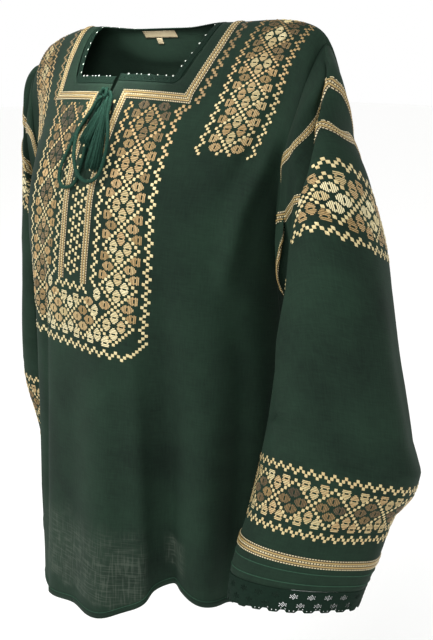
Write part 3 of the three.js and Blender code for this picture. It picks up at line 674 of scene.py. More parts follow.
def tube(route, radius, sides, turn=0.0, lobes=0, depth=0.0):
    # ring i: centre + r (cos a side + sin a other), r = radius (1 - depth + depth |cos(lobes a / 2)|)
    side, other = frames(route)
    a = np.linspace(0, 2 * math.pi, sides, endpoint=False)[None, :]
    spin, r = (np.broadcast_to(np.asarray(v, float), len(route))[:, None] for v in (turn, radius))
    if lobes:
        r = r * (1 - depth + depth * np.abs(np.cos(lobes * (a - spin) / 2)))
    offset = side[:, None] * (r * np.cos(a))[..., None] + other[:, None] * (r * np.sin(a))[..., None]
    ring = np.arange(sides)
    after = np.roll(ring, -1)
    row = (np.arange(len(route) - 1) * sides)[:, None]
    quads = np.stack([row + ring, row + after, row + after + sides, row + ring + sides], axis=-1)
    caps = [ring[None, ::-1], ring[None] + (len(route) - 1) * sides]
    return (route[:, None] + offset).reshape(-1, 3), [quads.reshape(-1, 4), *caps]


def joined(parts):
    # several (points, faces) as one
    points, groups, start = [], [], 0
    for found, faces in parts:
        points.append(found)
        groups += [np.asarray(f) + start for f in (faces if isinstance(faces, list) else [faces])]
        start += len(found)
    return np.concatenate(points), groups


def tieCord(name, route, node):
    # a tube along the route, its three lobes turning once in every `twist`
    path, length = smoothRoute(route, tie["step"])
    turn = np.arange(len(path)) * tie["step"] / tie["twist"] * 2 * math.pi
    cord = tube(path, tie["diameter"] * tie["swell"], tie["sides"], turn, tie["plies"], tie["groove"])
    made = piece(name, *cord, greenCord, node)
    print(name, "length", round(length))


tieCord("tieLoopLeft", leftLoop, "tie_left")
tieCord("tieLoopRight", rightLoop, "tie_right")


def tieKnot():
    # two short turns of the cord wound round each other, each an ellipse that sways and leans
    t = np.linspace(0, 2 * math.pi, 90)
    parts = []
    for k, (wide, tall, lean) in enumerate(knot["turns"]):
        c, s = math.cos(lean), math.sin(lean)
        y = knot["depth"] * np.sin(t + k) - 0.5 * k
        z = tall * np.sin(t) * c + knot["sway"] * np.cos(2 * t)
        loop = np.stack([wide * np.cos(t), y, z], axis=1) @ [[c, 0, s], [0, 1, 0], [-s, 0, c]]
        parts.append(tube(loop + knot["at"], knot["radius"], 12, t * 6, tie["plies"], 0.3))
    piece("tieKnot", *joined(parts), greenCord, "tie_knot")


tieKnot()


def tassel(side):
    # strands bound at the neck and spreading below it, each waving a little
    top, foot, reach = tassels[side]
    drop = np.subtract(foot, top)
    u = np.linspace(0, 1, 12)
    profile = np.interp(u, *np.transpose(tasselShape))
    across = [v[0] for v in frames(np.array([top, foot]))]
    parts = []
    for _ in range(strands["count"]):
        angle, share = rng.uniform(0, 2 * math.pi), math.sqrt(rng.uniform(0.05, 1))
        wave = strands["wave"] * np.sin(u * rng.uniform(3, 8) + rng.uniform(0, 6)) * u
        radius = (profile * share + wave)[:, None]
        line = top + drop * (u * rng.uniform(reach, 1.0))[:, None]
        line = line + across[0] * radius * math.cos(angle) + across[1] * radius * math.sin(angle)
        parts.append(tube(line, strands["radius"], strands["sides"]))
    collar = top + drop * np.linspace(0.2, 0.3, 6)[:, None]
    parts.append(tube(collar, [1.2, 2.8, 3.3, 3.3, 2.8, 1.2], 14, 0, 14, 0.12))
    piece("tassel" + side.title(), *joined(parts), greenCord, "tassel_" + side)


tassel("left")
tassel("right")
print("tie made")


cloth = {"cell": 3.3, "thickness": 0.6, "hemDepth": 7, "hemThickness": 0.5, "hemFrom": 371}


def spaced(start, stop, step):
    return np.linspace(start, stop, max(int(round(abs(stop - start) / step)), 1) + 1)


# how much shorter the cloth ends, by place across
frontHem = [(-252, 42), (-185, 34), (-130, 12), (-80, -4), (-40, 0), (0, 8), (50, 14), (80, 26),
            (105, 44), (140, 56), (170, 50), (252, 42)]
backHem = [(-252, 42), (-150, 24), (0, 14), (150, 24), (252, 42)]


def hemmed(p, q, side, facing):
    # q - rise ease((q - hemFrom) / (length - hemFrom)), where the rise varies across; p keeps its share
    edge = edgeAt(facing * q)
    lifted = along(backHem if facing < 0 else frontHem, side * p)[..., 0]
    rise = mixed(body["sideRise"], lifted, clamp01((edge - p) / 30))
    length = q - rise * ease((q - cloth["hemFrom"]) / (body["length"] - cloth["hemFrom"]))
    return side * p * edgeAt(facing * length) / edge, facing * length


def roundedCorner(p, q, side):
    # edge points within r of the neck's front corner move on to a quarter circle of radius r
    r, deep, near = body["cornerRound"], body["neckDepth"], 1e-6
    low, edge = neckLine("neck", side, deep), neckLine("neck", side, q)
    flat = (np.abs(q - deep) < near) & (p > low - r) & (p <= low + near)
    tall = (np.abs(p - edge) < near) & (q > deep - r) & (q < deep - near)
    turn = np.where(tall, 1 - clamp01((deep - q) / r), 1 + clamp01((low - p) / r)) * math.pi / 4
    newP = low - r + r * np.cos(turn) + (edge - low) * tall
    return np.where(tall | flat, newP, p), np.where(tall | flat, deep - r + r * np.sin(turn), q)


def panelHalf(side, facing):
    # places (p, q) of two blocks: from the middle to the neck's edge line, and from there outwards
    top = body["backDepth"] if facing < 0 else body["neckDepth"]
    lower = spaced(top, body["length"], cloth["cell"])[:, None]
    q = np.concatenate([spaced(0, top, cloth["cell"])[:-1, None], lower])
    start = body["slitOpen"] * slitShare(lower) * (facing > 0)
    share = np.linspace(0, 1, int(92 / cloth["cell"]))
    inner = mixed(start, neckLine("neck", side, facing * lower), share)
    share = np.append(np.linspace(0, 0.992, 48), 1.0)
    outer = mixed(neckLine("neck", side, facing * q), edgeAt(facing * q), share)
    blocks = [np.broadcast_arrays(inner, lower), np.broadcast_arrays(outer, q)]
    if facing > 0:
        blocks = [roundedCorner(*block, side) for block in blocks]
    placed = [hemmed(*block, side, facing) for block in blocks]
    return [(p, sagged(p, down)) for p, down in placed]


def panelPiece(name, node, facing):
    # the blocks of both halves laid on the body's cloth, joined where they meet
    parts, places = [], []
    for side in (1, -1):
        for p, q in panelHalf(side, facing):
            parts.append((bodyAt(p, q).reshape(-1, 3), gridFaces(*p.shape, side * facing < 0)))
            places.append(np.stack([p, q], axis=-1).reshape(-1, 2))
    uv = np.concatenate(places)
    return piece(name, *joined(parts), greenCloth, node, uv=uv, weld=True, thick=cloth["thickness"])


frontPiece = panelPiece("frontPanel", "front", 1)
backPiece = panelPiece("backPanel", "back", -1)


def sleevePiece(name, node, side):
    # rows down the sleeve and columns round it from the fold
    s = spaced(0, sleeve["cuff"], cloth["cell"])[:, None]
    share = np.linspace(0, 1, 181)
    # the columns lie closer together at the fold, where the share is 0
    turn = foldTurn(side, s) + share - 0.6 * np.sin(2 * math.pi * share) / (2 * math.pi)
    uv = np.stack(np.broadcast_arrays(turn * sleeve["girth"] + 600, s), axis=-1).reshape(-1, 2)
    return piece(name, sleeveAt(side, turn, s).reshape(-1, 3), gridFaces(*turn.shape, side == "right"),
                 greenCloth, node, uv=uv, weld=True, thick=cloth["thickness"])


sleeveLeft = sleevePiece("sleeveLeft", "sleeve_left", "left")
sleeveRight = sleevePiece("sleeveRight", "sleeve_right", "right")


def hemBand(name, facing):
    # the turned-up hem, a second layer, with the line of stitches that holds it
    bands, lines = [], []
    for side in (1, -1):
        q = np.array([[body["length"] - cloth["hemDepth"]], [body["length"]]])
        p = np.linspace(0, 0.995, 90) * edgeAt(facing * q)
        across, down = hemmed(p, q, side, facing)
        bands.append((bodyAt(across, down, 0.5).reshape(-1, 3), gridFaces(2, 90, side * facing < 0)))
        lines.append(tube(bodyAt(across[0], down[0], 0.6), 0.45, 5))
    points, faces = joined(bands)
    uv = points[:, [0, 2]] + (2000, 0)
    piece(name, points, faces, greenCloth, uv=uv, thick=cloth["hemThickness"])
    piece(name + "Stitches", *joined(lines), greenStitch)


hemBand("frontHem", 1)
hemBand("backHem", -1)


def pinTucks(side):
    # two narrow tucks round the cuff above its lace
    turn = np.linspace(0, 1, 260)
    tucks = [tube(sleeveAt(side, turn, s, 0.4), 0.55, 6) for s in (536.0, 547.0)]
    piece("pinTucks" + side.title(), *joined(tucks), greenStitch)


pinTucks("left")
pinTucks("right")
print("cloth made")


stitch = {"square": 0.45, "bar": 0.158, "pitch": 0.45, "slit": 0.6, "peak": 0.95}
# half length of each satin bar of a motif, by its number from the middle
barLengths = [1.12, 1.36, 1.22, 0.86, 0.42]
# height of a stitch above the cloth, on its 3 x 3 points
pillow = np.array([[0.25, 0.5, 0.25], [0.5, stitch["peak"], 0.5], [0.25, 0.5, 0.25]])
# a tone of the gold thread runs from 0, cream, by 0.25, pale gold, and 0.6, light gold, to 1, bronze
tones = {"line": 0.22, "lattice": 0.25, "spread": 0.03}


def patchRows(a, b, halfA, halfB, tone):
    # one row for each patch: its middle, its half sizes and its tone
    columns = np.broadcast_arrays(*np.atleast_1d(a, b, halfA, halfB, tone))
    return np.stack([v.ravel() for v in columns], axis=1)


def squares(a, b, tone, half=None):
    half = half or stitch["square"]
    return patchRows(a, b, half, half, tone)


def motifBars():
    # (place along, middle, half length) of each bar; the middle one is parted by the slit
    rows = []
    for k in range(-4, 5):
        reach, low = barLengths[abs(k)], stitch["slit"]
        ends = [(0, reach)] if k else [(s * (reach + low) / 2, (reach - low) / 2) for s in (-1, 1)]
        rows += [(stitch["pitch"] * k, *end) for end in ends]
    return np.array(rows)


motifTable = motifBars()


def motif(a, b, across, tone, cut=0):
    # a four-petalled motif: satin bars across its arms; cut is the side on which its end is left off
    x, y, reach = motifTable[motifTable[:, 0] * cut <= 1.3].T
    thin = np.full_like(x, stitch["bar"])
    if across:
        return patchRows(a + y, b + x, reach, thin, tone)
    return patchRows(a + x, b + y, thin, reach, tone)


def lattice(start, stop, tone):
    # two zigzag lines b = +-tri(a) of period 12 and height 6 that cross at every twelfth step
    a = np.arange(math.ceil(start), math.floor(stop) + 1)
    b = 6 - np.abs(np.mod(a, 12) - 6)
    apart = b > 0
    return np.concatenate([squares(a, b, tone), squares(a[apart], -b[apart], tone)])


def zig(n):
    # 0, 1, 2, 1 and over again
    return 2 - np.abs(np.mod(n, 4) - 2)


def zigzag(start, stop, phase, side, tone, pitch=0.9):
    # squares at b = side (8 + 0.9 (0, 1, 2, 1)), the nearest ones at a = phase and every fourth after
    n = np.arange(math.ceil((start - phase) / pitch), math.floor((stop - phase) / pitch) + 1)
    return squares(phase + pitch * n, side * (8 + 0.9 * zig(n)), tone)


def centreMotifs(a, tone):
    spots = [(2.65, 0), (-2.65, 0), (0, 2.4), (0, -2.4)]
    return np.concatenate([motif(a + da, db, False, tone + rng.normal(0, 0.09)) for da, db in spots])


def edgeMotifs(a, side, tone, ends=(-1, 1)):
    # one whole motif beside a crossing and a cut one to each side of it
    rows = [motif(a, 3.7 * side, True, tone + rng.normal(0, 0.07))]
    rows += [motif(a + 2.8 * end, 5.6 * side, True, tone + rng.normal(0, 0.07), side) for end in ends]
    return np.concatenate(rows)


def stitched(rows, place, keep=None):
    # every patch as a small pillow of 3 x 3 points laid on the cloth
    middleA, middleB, halfA, halfB, tone = (v[:, None, None] for v in rows.T)
    step = np.array([-1.0, 0, 1])
    a, b, h = np.broadcast_arrays(middleA + halfA * step[:, None], middleB + halfB * step, pillow)
    points = place(a, b, h)
    if keep is not None:
        kept = keep(a[:, 1, 1], b[:, 1, 1])
        points, tone = points[kept], tone[kept]
    # faces point the way that the middle of a pillow stands
    normal = np.cross(points[:, 2, 1] - points[:, 0, 1], points[:, 1, 2] - points[:, 1, 0])
    outward = points[:, 1, 1] * 4 - points[:, ::2, ::2].sum(axis=(1, 2))
    quads = gridFaces(3, 3, np.median((normal * outward).sum(axis=-1)) < 0)
    faces = (np.arange(len(points))[:, None, None] * 9 + quads).reshape(-1, 4)
    shade = np.repeat(tone[:, 0, 0] + rng.normal(0, tones["spread"], len(points)), 9)
    return points.reshape(-1, 3), faces, shade


def sewn(name, parts, material, node=None, uv=None):
    # several parts, each with its points, faces and tones, as one piece
    tone = np.concatenate([part[2] for part in parts])
    piece(name, *joined([part[:2] for part in parts]), material, node, uv=uv, tone=tone)


# a U of bands below the neck: q of the crossings at its corners, the mm of a unit down and across,
# the same for the band along its foot, and q of the foot of the neck's braid
front = {"crossing": 311.0, "down": 3.4, "across": 3.73, "hem": 331.4, "hemAcross": 3.6,
         "hemAlong": 3.86, "hemMiddle": -3.4, "braidFoot": 101.5}
bandCentres = {
    1: [(100, 71.5), (120, 71), (165, 68.5), (212, 68.8), (258, 69.7), (303, 67.8), (331, 64.6), (352, 64)],
    -1: [(100, 62), (190, 64), (229, 66), (270, 67.5), (308, 70), (331, 73), (352, 74)],
}


def uprightAt(side):
    # a band's unit (a, b) on the cloth: a up from the corner, b outwards from the band's middle
    def place(a, b, h):
        q = front["crossing"] - front["down"] * a
        middle = along(bandCentres[side], np.clip(q, 100, 352))[..., 0]
        return bodyAt(side * (middle + front["across"] * b), q, h)
    return place


def acrossAt(a, b, h):
    # the same for the band along the foot, a to the wearer's left and b down
    p, q = front["hemMiddle"] + front["hemAlong"] * a, front["hem"] + front["hemAcross"] * b
    return bodyAt(p, q, h)


def freeAt(a, b, h):
    return bodyAt(b, a, h)


def belowBraid(side):
    # what the neck's braid covers is left out; the right side's foot hangs lower
    foot = front["braidFoot"] + (5.5 if side < 0 else 1.8)
    return lambda a, b: front["crossing"] - front["down"] * a > foot


def uprightRows(side):
    # the band down one side, as patches in its own units
    centres, edges = (0.28, 0.5) if side > 0 else (0.66, 0.6)
    rows = [lattice(-12, 60, tones["lattice"])]
    rows += [centreMotifs(6 + 12 * k, centres + 0.03 * k) for k in range(-1, 5)]
    rows += [edgeMotifs(12 * k, 1, edges) for k in range(0, 6)]
    rows += [edgeMotifs(12 * k, -1, edges) for k in range(1, 6)]
    rows.append(zigzag(-9.6, 61, 8.5, 1, tones["line"]))
    rows.append(zigzag(4.6, 61, 5.3, -1, tones["line"]))
    step = np.arange(6)
    rows.append(squares(-10.2 - 0.9 * step, 9.8 - 0.9 * step, tones["line"]))
    inner = [(0, -3.7, True), (0, -10.1, True), (2.8, -6.9, False), (-2.5, -7.2, False)]
    rows += [motif(a, b, turned, 0.45 if turned else 0.12) for a, b, turned in inner]
    rows = np.concatenate(rows)
    rows[:, 4] += np.interp(rows[:, 0], [36, 60], [0, 0.35])  # darker gold towards the neck
    return rows


def acrossRows():
    # the band along the foot
    rows = [lattice(-11, 11, tones["lattice"])]
    rows += [centreMotifs(a, 0.46) for a in (-6, 6)]
    rows += [edgeMotifs(0, 1, 0.12), edgeMotifs(0, -1, 0.12)]
    rows += [edgeMotifs(a, 1, 0.12) for a in (-12, 12)]
    rows.append(zigzag(-22.5, 22.5, 0.1, 1, tones["line"]))
    rows.append(zigzag(-7.4, 7.6, 0.1, -1, tones["line"]))
    return np.concatenate(rows)


# a chain of small diamonds between the slit braids, its middle drifting with the cloth (q, p)
chain = {"top": 196, "count": 31, "pitch": 3.03, "step": 5.4, "half": 1.75,
         "middle": [(214, 2.6), (275, -1.2), (290, -3.2)]}
# pairs of squares beside the slit above it, and the zigzag outside the neck braid
pairs = {"top": 106, "foot": 194, "pitch": 12.1, "out": 11.2, "half": 1.7}
neckSquares = {"first": 4.6, "last": 101, "pitch": 2.7, "gap": 15.2, "step": 3.4, "half": 1.65}


def middleRows():
    # squares at p = middle(q) + side step (0, 1, 2, 1) down the middle, then pairs beside the slit
    n, side = np.divmod(np.arange(2 * chain["count"]), 2)
    side = 2 * side - 1
    out = zig(n + 2)
    q = chain["top"] + chain["pitch"] * n
    p = np.interp(q, *np.transpose(chain["middle"])) + chain["step"] * side * out
    once = (out > 0) | (side > 0)  # the two sides meet at every fourth square
    rows = [squares(q[once], p[once], tones["line"], chain["half"])]
    for q in np.arange(pairs["top"], pairs["foot"], pairs["pitch"]):
        rows += [squares(q, s * pairs["out"], tones["line"], pairs["half"]) for s in (-1, 1)]
    return np.concatenate(rows)


def neckZigzag(side):
    # outside the neck braid from the shoulder to its corner, then on to the border of the U
    n = np.arange(36)
    q = neckSquares["first"] + neckSquares["pitch"] * n
    n, q = n[q < neckSquares["last"]], q[q < neckSquares["last"]]
    out = zig(n + 2)
    p = neckLine("braid", side, q) + neckSquares["gap"] + neckSquares["step"] * out
    # the squares are darker gold towards the shoulder line
    deeperGold = np.interp(q, [10, 60], [0.85, 0.7])
    rows = [squares(sagged(side * p, q), side * p, deeperGold, neckSquares["half"])]
    q, p = [104.5, 108, 111.4], side * np.array([115, 111.5, 107.5])
    return np.concatenate([*rows, squares(q, p, 0.65, neckSquares["half"])])


# the bands over the shoulders: step along the band to q, and q to the place across
shoulderRows = [(-12, 178), (-3, 151), (6, 124), (18, 88.8), (30, 55.2), (42, 26.4), (54, 0), (66, -26)]
shoulderCentres = [(0, 191), (26, 187.3), (55, 181.2), (89, 175.7), (124, 169.4), (151, 163)]


def shoulderAt(side):
    def place(a, b, h):
        q = along(shoulderRows, a)[..., 0]
        middle = along(shoulderCentres, np.clip(q, 0, 151))[..., 0]
        return bodyAt(side * (middle + 3.05 * b), np.maximum(q, 0.6), h)
    return place


def shoulderBand(side):
    # the same lattice, motifs and zigzags from the shoulder line down the front
    rows = [lattice(-2, 54, 0.3)]
    rows += [centreMotifs(6 + 12 * k, 0.36 - 0.05 * k) for k in range(5)]
    rows += [edgeMotifs(12 * k, s, 0.45) for k in range(1, 5) for s in (-1, 1)]
    rows += [edgeMotifs(0, s, 0.42, (1,)) for s in (-1, 1)]
    rows += [zigzag(-3.2, 54, 1.2, s, 0.3) for s in (-1, 1)]
    rows = np.concatenate(rows)
    inside = np.abs(rows[:, 1]) + np.abs(np.mod(rows[:, 0], 12) - 6) < 4.5
    rows[:, 4] += np.where(inside, 0, np.interp(rows[:, 0], [16, 44], [0, 0.4]))  # darker gold higher up towards the shoulder line
    return stitched(rows, shoulderAt(side), lambda a, b: along(shoulderRows, a)[..., 0] > 1.6)


frontStitches = [stitched(uprightRows(s), uprightAt(s), belowBraid(s)) for s in (1, -1)]
frontStitches.append(stitched(acrossRows(), acrossAt))
frontStitches.append(stitched(middleRows(), freeAt))
frontStitches += [stitched(neckZigzag(s), freeAt) for s in (1, -1)]
sewn("frontEmbroidery", frontStitches, goldStitches)
sewn("shoulderEmbroidery", [shoulderBand(s) for s in (1, -1)], goldStitches)
print("front embroidered")

# the bands round the sleeves: middle s, mm down for each unit, turn of the first crossing, and the
# tones of centres, edges and lines
sleeveBands = {
    "upper": (167, 3.6, 0.028, 0.1, 0.5, 0.25),
    "lower": (463.5, 3.72, 0.016, 0.86, 0.34, 0.3),
}


# how far the left sleeve's stitches past its fold hang down, above which s and up to which turn
fall = {"by": 75, "above": 300, "until": 0.46}


def slipped(side, turn, s):
    # on the left sleeve the cloth past the fold hangs lower, back to its place at the underarm
    past = np.mod(turn - foldTurn(side, s), 1)
    fallen = (side == "left") & (s < fall["above"]) & (past > 1e-6) & (past < 0.5)
    return fall["by"] * fallen * ease((fall["until"] - turn) / 0.12)


def inSight(side, turn, s):
    # what the left sleeve's lap hides is left out
    before = np.mod(turn - foldTurn(side, s) + 0.5, 1) < 0.494
    beyond = np.mod(turn - foldTurn(side, s + slipped(side, turn, s)) + 0.5, 1) - 0.5 > 0.05
    return (side == "right") | (s > fall["above"]) | before | beyond


def sleeveEmbroidery(side):
    parts = []
    for middle, down, first, centres, edges, lines in sleeveBands.values():
        rows = [lattice(0, 131, lines)]
        rows += [centreMotifs(6 + 12 * k, centres) for k in range(11)]
        rows += [edgeMotifs(12 * k, s, edges) for k in range(11) for s in (-1, 1)]
        rows += [zigzag(0, 131.5, 1.4 * (s > 0), s, lines, 132 / 156) for s in (-1, 1)]

        def spot(a, b, first=first, middle=middle, down=down):
            # 132 units to the turn
            return side, first + a / 132, middle + down * b

        def place(a, b, h, spot=spot):
            side, turn, s = spot(a, b)
            return sleeveAt(side, turn, s + slipped(side, turn, s), h)

        def keep(a, b, spot=spot):
            return inSight(*spot(a, b))

        parts.append(stitched(np.concatenate(rows), place, keep))
    return parts


for side in ("left", "right"):
    sewn("sleeveEmbroidery" + side.title(), sleeveEmbroidery(side), goldStitches)
print("sleeves embroidered")


# the gold braid: width, how far apart its beads and dashes are, and where it runs on the body
braid = {"width": 10.0, "lift": 0.45, "bead": 2.8, "dash": 2.7, "slit": 15.5, "flare": 3.0,
         "top": 91.5, "foot": 101.5, "slitFoot": 294.0, "backTop": 15.0, "backFoot": 25.0}
# across the braid: place, height above the cloth's middle, tone
halfSection = [(0.0, 0.25, 1.0), (0.25, 0.6, 0.95), (1.2, 0.6, 1.0), (1.45, 0.5, 1.0), (1.75, 0.75, 0.95),
               (2.1, 1.25, 0.45), (2.8, 1.5, 0.3), (3.5, 1.3, 0.42), (3.95, 0.75, 0.9), (4.3, 0.6, 1.0)]
otherHalf = [(braid["width"] - place, height, tone) for place, height, tone in halfSection[::-1]]
braidSection = np.array([*halfSection, (5.0, 0.6, 1.0), *otherHalf])


def braidPiece(name, node, inner, outer, place):
    # inner and outer: matched places along the two edges of a woven strip with beads on it
    total = lengths(place((inner + outer) / 2, 0.0))
    share, height, tone = braidSection.T
    spots = inner[:, None] + (outer - inner)[:, None] * (share / braid["width"])[:, None]
    points = place(spots, np.broadcast_to(height, spots.shape[:2]))
    rows, columns = points.shape[:2]
    uv = np.stack(np.broadcast_arrays(total[:, None], share), axis=-1).reshape(-1, 2)
    normal = np.cross(points[1, 0] - points[0, 0], points[0, 1] - points[0, 0])
    up = place(spots[:1, :1], np.array([[2.0]])) - place(spots[:1, :1], np.array([[0.0]]))
    strip = (points.reshape(-1, 3), gridFaces(rows, columns, (normal * up).sum() < 0), np.tile(tone, rows))

    def woven(t, u, h):
        # t along the strip and u across it
        inside, outside = (np.stack([np.interp(t, total, line[:, k]) for k in (0, 1)], axis=-1)
                           for line in (inner, outer))
        return place(mixed(inside, outside, (u / braid["width"])[..., None]), h + braid["lift"])

    beads = np.arange(1.1, total[-1] - 0.8, braid["bead"])
    dashes = np.arange(1.0, total[-1] - 0.8, braid["dash"])
    raised = [patchRows(beads, 5.0, 0.95, 0.72, 0.12)]
    raised += [patchRows(dashes, u, 0.85, 0.5, 0.02) for u in (0.7, 9.3)]
    raised = stitched(np.concatenate(raised), woven)
    uv = np.concatenate([uv, np.zeros((len(raised[0]), 2))])
    sewn(name, [strip, raised], goldBraid, node, uv)


def stretch(start, stop, count):
    return np.linspace(np.array(start, float), np.array(stop, float), count)


def slitBraid(q):
    return braid["slit"] + braid["flare"] * slitShare(q)


def frontBraid(side):
    # up beside the slit, along below the neck, and up to the shoulder, mitred at both corners
    top, foot, wide = braid["top"], braid["foot"], braid["width"]
    edges = []
    for extra, height in ((0, top), (wide, foot)):
        up = np.linspace(braid["slitFoot"], height, 112)
        upright = np.stack([slitBraid(up) + extra, up], axis=1)
        corner = (neckLine("braid", side, top) + extra, height)
        level = stretch((slitBraid(height) + extra, height), corner, 48)
        rise = np.linspace(height, 0.4, 54)
        last = np.stack([neckLine("braid", side, rise) + extra, rise], axis=1)
        edges.append(np.concatenate([upright, level[1:], last[1:]]) * (side, 1))
    return edges


def backBraid():
    # down from the shoulder line, across the back neck and up again
    edges = []
    for extra, depth in ((0, braid["backTop"]), (braid["width"], braid["backFoot"])):
        left, right = neckLine("braid", 1, 0.0) + extra, -neckLine("braid", -1, 0.0) - extra
        corners = [(left, -0.4), (left, -depth), (right, -depth), (right, -0.4)]
        runs = [stretch(a, b, n) for a, b, n in zip(corners, corners[1:], (12, 140, 12))]
        edges.append(np.concatenate([runs[0], runs[1][1:], runs[2][1:]]))
    return edges


for side, label in ((1, "left"), (-1, "right")):
    braidPiece("neckBraid" + label.title(), "neck_braid_" + label, *frontBraid(side), onBody)
braidPiece("neckBraidBack", "neck_braid_back", *backBraid(), onBody)
cuffRing = [(turn, 525) for turn in (0, 0.5, 1)]
# round each sleeve, (turn, s); the left sleeve's upper ones slant down to its fold and on from under it
sleeveBraids = {
    ("shoulder", "left"): [(-0.3, 44), (-0.15, 50), (-0.08, 54), (-0.037, 53.6), (-0.02, 52.8), (-0.004, 52),
                           (0.008, 48), (0.02, 52), (0.03, 60), (0.042, 68), (0.063, 73), (0.09, 76),
                           (0.125, 79), (0.159, 73), (0.19, 57), (0.222, 38), (0.26, 26), (0.35, 20),
                           (0.5, 22), (0.62, 34), (0.7, 44)],
    ("upper", "left"): [(-0.3, 84), (-0.15, 86), (-0.034, 92), (-0.01, 98), (0.01, 101), (0.026, 98),
                        (0.041, 90), (0.056, 94), (0.073, 105), (0.098, 121), (0.126, 140), (0.15, 156),
                        (0.17, 157), (0.2, 139), (0.251, 107), (0.301, 76), (0.33, 56), (0.38, 42),
                        (0.46, 38), (0.57, 56), (0.7, 84)],
    ("shoulder", "right"): [(-0.3, 42), (-0.1, 44), (0, 48), (0.06, 56), (0.111, 67), (0.14, 54), (0.18, 28),
                            (0.205, 15), (0.235, 8), (0.35, 8), (0.5, 14), (0.6, 30), (0.7, 42)],
    ("upper", "right"): [(-0.3, 84), (-0.1, 86), (0, 92), (0.08, 104), (0.13, 116), (0.156, 123),
                         (0.169, 132), (0.2, 128), (0.25, 105), (0.3, 80), (0.38, 62), (0.5, 66),
                         (0.6, 78), (0.7, 84)],
    ("cuff", "left"): cuffRing,
    ("cuff", "right"): cuffRing,
}


def sleeveBraid(route):
    # the two edges, half a width to each side of the route
    scale = (sleeve["girth"], 1)
    line = smoothRoute(np.column_stack([np.array(route) * scale, np.zeros(len(route))]), 1.8)[0][:, :2]
    normal = unit(np.gradient(line, axis=0))[:, ::-1] * (-1, 1)
    return [(line + normal * d * braid["width"] / 2) / scale for d in (-1, 1)]


def onSleeve(side):
    return lambda spots, h: sleeveAt(side, spots[..., 0], spots[..., 1], h)


for (name, side), route in sleeveBraids.items():
    braidPiece(name + "Braid" + side.title(), f"{name}_braid_{side}", *sleeveBraid(route), onSleeve(side))
print("braids made")


# crochet lace: its depth inside the neck and at the cuffs, and how many scallops go round a cuff
lace = {"neck": 8.0, "cuff": 22.0, "thickness": 0.8, "scallops": 22, "ridge": 0.2}


def lacePiece(name, node, points, hole, wraps=False):
    # a net on a grid: cells marked in `hole` are left out
    faces = gridFaces(*points.shape[:2])[~hole.ravel()]
    piece(name, points.reshape(-1, 3), faces, greenLace, node, weld=wraps, thick=lace["thickness"])


def cuffLace(side):
    # a net of 20 rows with 16 columns to each scallop, whose middle hangs lower than its ends
    scallops, wide, rows = lace["scallops"], 16, 20
    turn = np.linspace(0, 1, scallops * wide + 1)
    v = np.linspace(0, 1, rows)[:, None]
    beat = np.mod(turn * scallops, 1)
    drop = 2.6 * (ease((beat - 0.12) / 0.16) - ease((beat - 0.72) / 0.16)) - 1.6
    s = sleeve["cuff"] + 0.4 + v * (lace["cuff"] - 0.4) + ease((v - 0.6) / 0.4) * drop
    i, j = np.ogrid[:rows - 1, :scallops * wide]
    hole = (i == 17) & (np.mod(j, 4) == 1)
    # rings of holes: one in each scallop's middle and, lower down, one between each two
    for row, shift in ((5, 0), (13, 8)):
        di, dj = i - row, np.mod(j - shift, wide) - 8
        ring = (np.abs(di) + np.abs(dj) == 2) & ((di + dj) % 2 == 0)
        hole = hole | ring | ((di == 0) & (dj == 0)) | ((np.abs(di) == 1) & (np.abs(dj) == 3))
    points = sleeveAt(side, turn, s, lace["ridge"] * (np.arange(rows) % 4 == 0)[:, None])
    way = 1 if side == "left" else -1
    lacePiece("cuffLace" + side.title(), "cuff_lace_" + side, points[:, ::way], hole[:, ::way], True)


def neckEdge(side, inset):
    # from the slit round the front corner and up to the back's middle, `inset` inside the cloth's edge
    r, deep, back = body["cornerRound"], body["neckDepth"], body["backDepth"]
    low = neckLine("neck", side, deep)
    level = stretch((body["slitOpen"], deep - inset), (low - r, deep - inset), 60)
    turn = np.linspace(math.pi / 2, 0, 16)
    bend = np.stack([low - r + (r - inset) * np.cos(turn), deep - r + (r - inset) * np.sin(turn)], axis=1)
    rise, share = np.linspace(deep - r, 0, 62), np.linspace(1, 0, 62)
    lean = neckLine("neck", side, rise) - inset - (neckLine("neck", side, deep - r) - low) * share
    high = (neckLine("neck", side, 0.0) - inset, inset - back)
    over, behind = stretch((high[0], 0), high, 4), stretch(high, (0, inset - back), 84)
    runs = [level, bend[1:], np.stack([lean, rise], axis=1)[1:], over[1:], behind[1:]]
    return np.concatenate(runs) * (side, 1)


def neckLace():
    # rows of net from the cloth's edge inwards; the innermost one juts out at four columns of seven
    lines = []
    for inset in np.linspace(0.04, 1, 9) * lace["neck"]:
        lines.append(np.concatenate([neckEdge(1, inset), neckEdge(-1, inset)[::-1][1:]]))
    spots = np.stack(lines)
    i, j = np.ogrid[:spots.shape[0], :spots.shape[1]]
    relief = 0.25 * (i % 3 == 0) + 0.12 * (j % 3 == 0)
    points = onBody(spots, relief)
    edge = onBody(spots[-1] + (spots[-1] - spots[-2]) * 0.5, relief[-1])
    points[-1] = np.where((j[0] % 7 < 4)[:, None], edge, points[-1])
    ci, cj = i[:-1], j[:, :-1]
    hole = ((ci == 6) & (cj % 7 == 1)) | ((ci == 3) & (cj % 4 == 2))
    lacePiece("neckLace", "neck_lace", points, hole)


def picotHighlights():
    # painted highlights: small pale loops along the inner edge of the neck's lace, 6 to 15 mm apart, painted
    # pale to stand for glints on the lace's edge
    rows = []
    for side in (1, -1):
        edge = neckEdge(side, lace["neck"] + 0.2)[1:-1]
        total = lengths(edge)
        at = np.cumsum(rng.uniform(6, 15, int(total[-1] / 12)))
        p, q = (np.interp(at, total, edge[:, k]) for k in (0, 1))
        rows.append(patchRows(q, p, rng.uniform(0.5, 0.9, len(at)), rng.uniform(0.6, 1.0, len(at)), 0.0))
    loops = stitched(np.concatenate(rows), lambda a, b, h: onBody(np.stack([b, a], axis=-1), h + 0.5))
    piece("neckPicotHighlights", *loops[:2], picotHighlightThread)


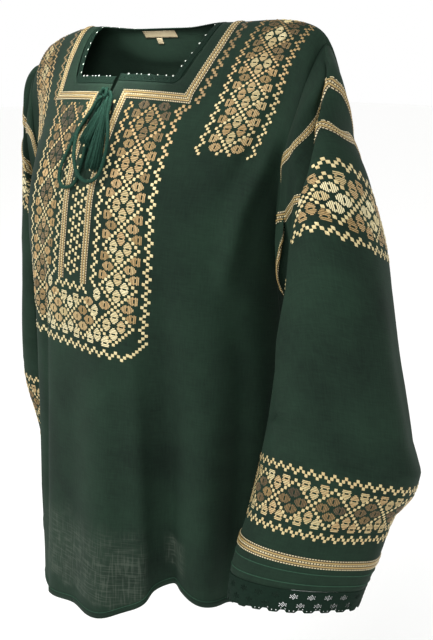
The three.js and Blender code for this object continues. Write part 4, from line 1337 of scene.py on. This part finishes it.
for side in ("left", "right"):
    cuffLace(side)
neckLace()
picotHighlights()
print("lace made")


def patchPiece(name, node, p, q, lift, thickness, bow):
    # a small tape sewn flat inside the back; its edges turn in to the cloth
    across, down = np.meshgrid(np.linspace(*p, 25), np.linspace(*q, 9))
    u, v = (np.linspace(-1, 1, n) for n in (25, 9))
    points = bodyAt(across, -down, lift - bow * (1 - u ** 4) * (1 - v[:, None] ** 4))
    uv = np.stack([across, down], axis=-1).reshape(-1, 2)
    piece(name, points.reshape(-1, 3), gridFaces(9, 25), labelTape, node, uv=uv, thick=thickness)


patchPiece("neckLabel", "label", (-39, 15), (4.6, 15), -1.0, 0.35, 0.35)
patchPiece("sizeTag", "size_tag", (-21, -12), (15.4, 22), -1.1, 0.3, 0.3)
print("labels made")

# a wide pale floor, in metres
floor = {"half": 14, "height": -0.9}
blouseMiddle = (0.05, -0.05, -0.3)
# lamps: place, aim and width in metres, then watts and the spread of the beam in degrees
lamps = {
    "key": ((-0.55, -2.2, 0.75), blouseMiddle, 1.4, 40, 180),
    "side": ((2.4, -1.2, 0.7), blouseMiddle, 1.4, 13, 180),
    "high": ((0.9, -1.0, 0.8), blouseMiddle, 0.5, 3, 180),
    "neck": ((0.05, -0.1, 0.07), (-0.1, 0.02, -0.12), 0.06, 0.4, 100),
}


def studio():
    mesh = bpy.data.meshes.new("floor")
    half, height = floor["half"], floor["height"]
    corners = [(half * x, half * y, height) for x, y in ((-1, -1), (1, -1), (1, 1), (-1, 1))]
    mesh.from_pydata(corners, [], [(0, 1, 2, 3)])
    material, tree, shader = newMaterial("pale floor")
    wire(tree, shader, {"Base Color": linear("#FCFCFB"), "Roughness": 0.9})
    mesh.materials.append(material)
    addObject("floor", mesh)
    world = bpy.data.worlds.new("studio")
    bpy.context.scene.world = world
    world.use_nodes = True
    wire(world.node_tree, world.node_tree.nodes["Background"], {0: linear("#FFFFFF"), 1: 1.0})
    for name, (place, aim, wide, watts, spread) in lamps.items():
        data = bpy.data.lights.new(name, "AREA")
        data.shape, data.size, data.energy, data.spread = "DISK", wide, watts, math.radians(spread)
        lamp = addObject(name, data)
        z = unit(np.subtract(place, aim))
        x = unit(np.cross([0, 0, 1], z))
        setPlace(lamp, (x, np.cross(z, x), z), place)
        lamp.visible_camera = False
    bpy.context.scene.view_settings.view_transform = "Standard"


studio()
print("studio lit")
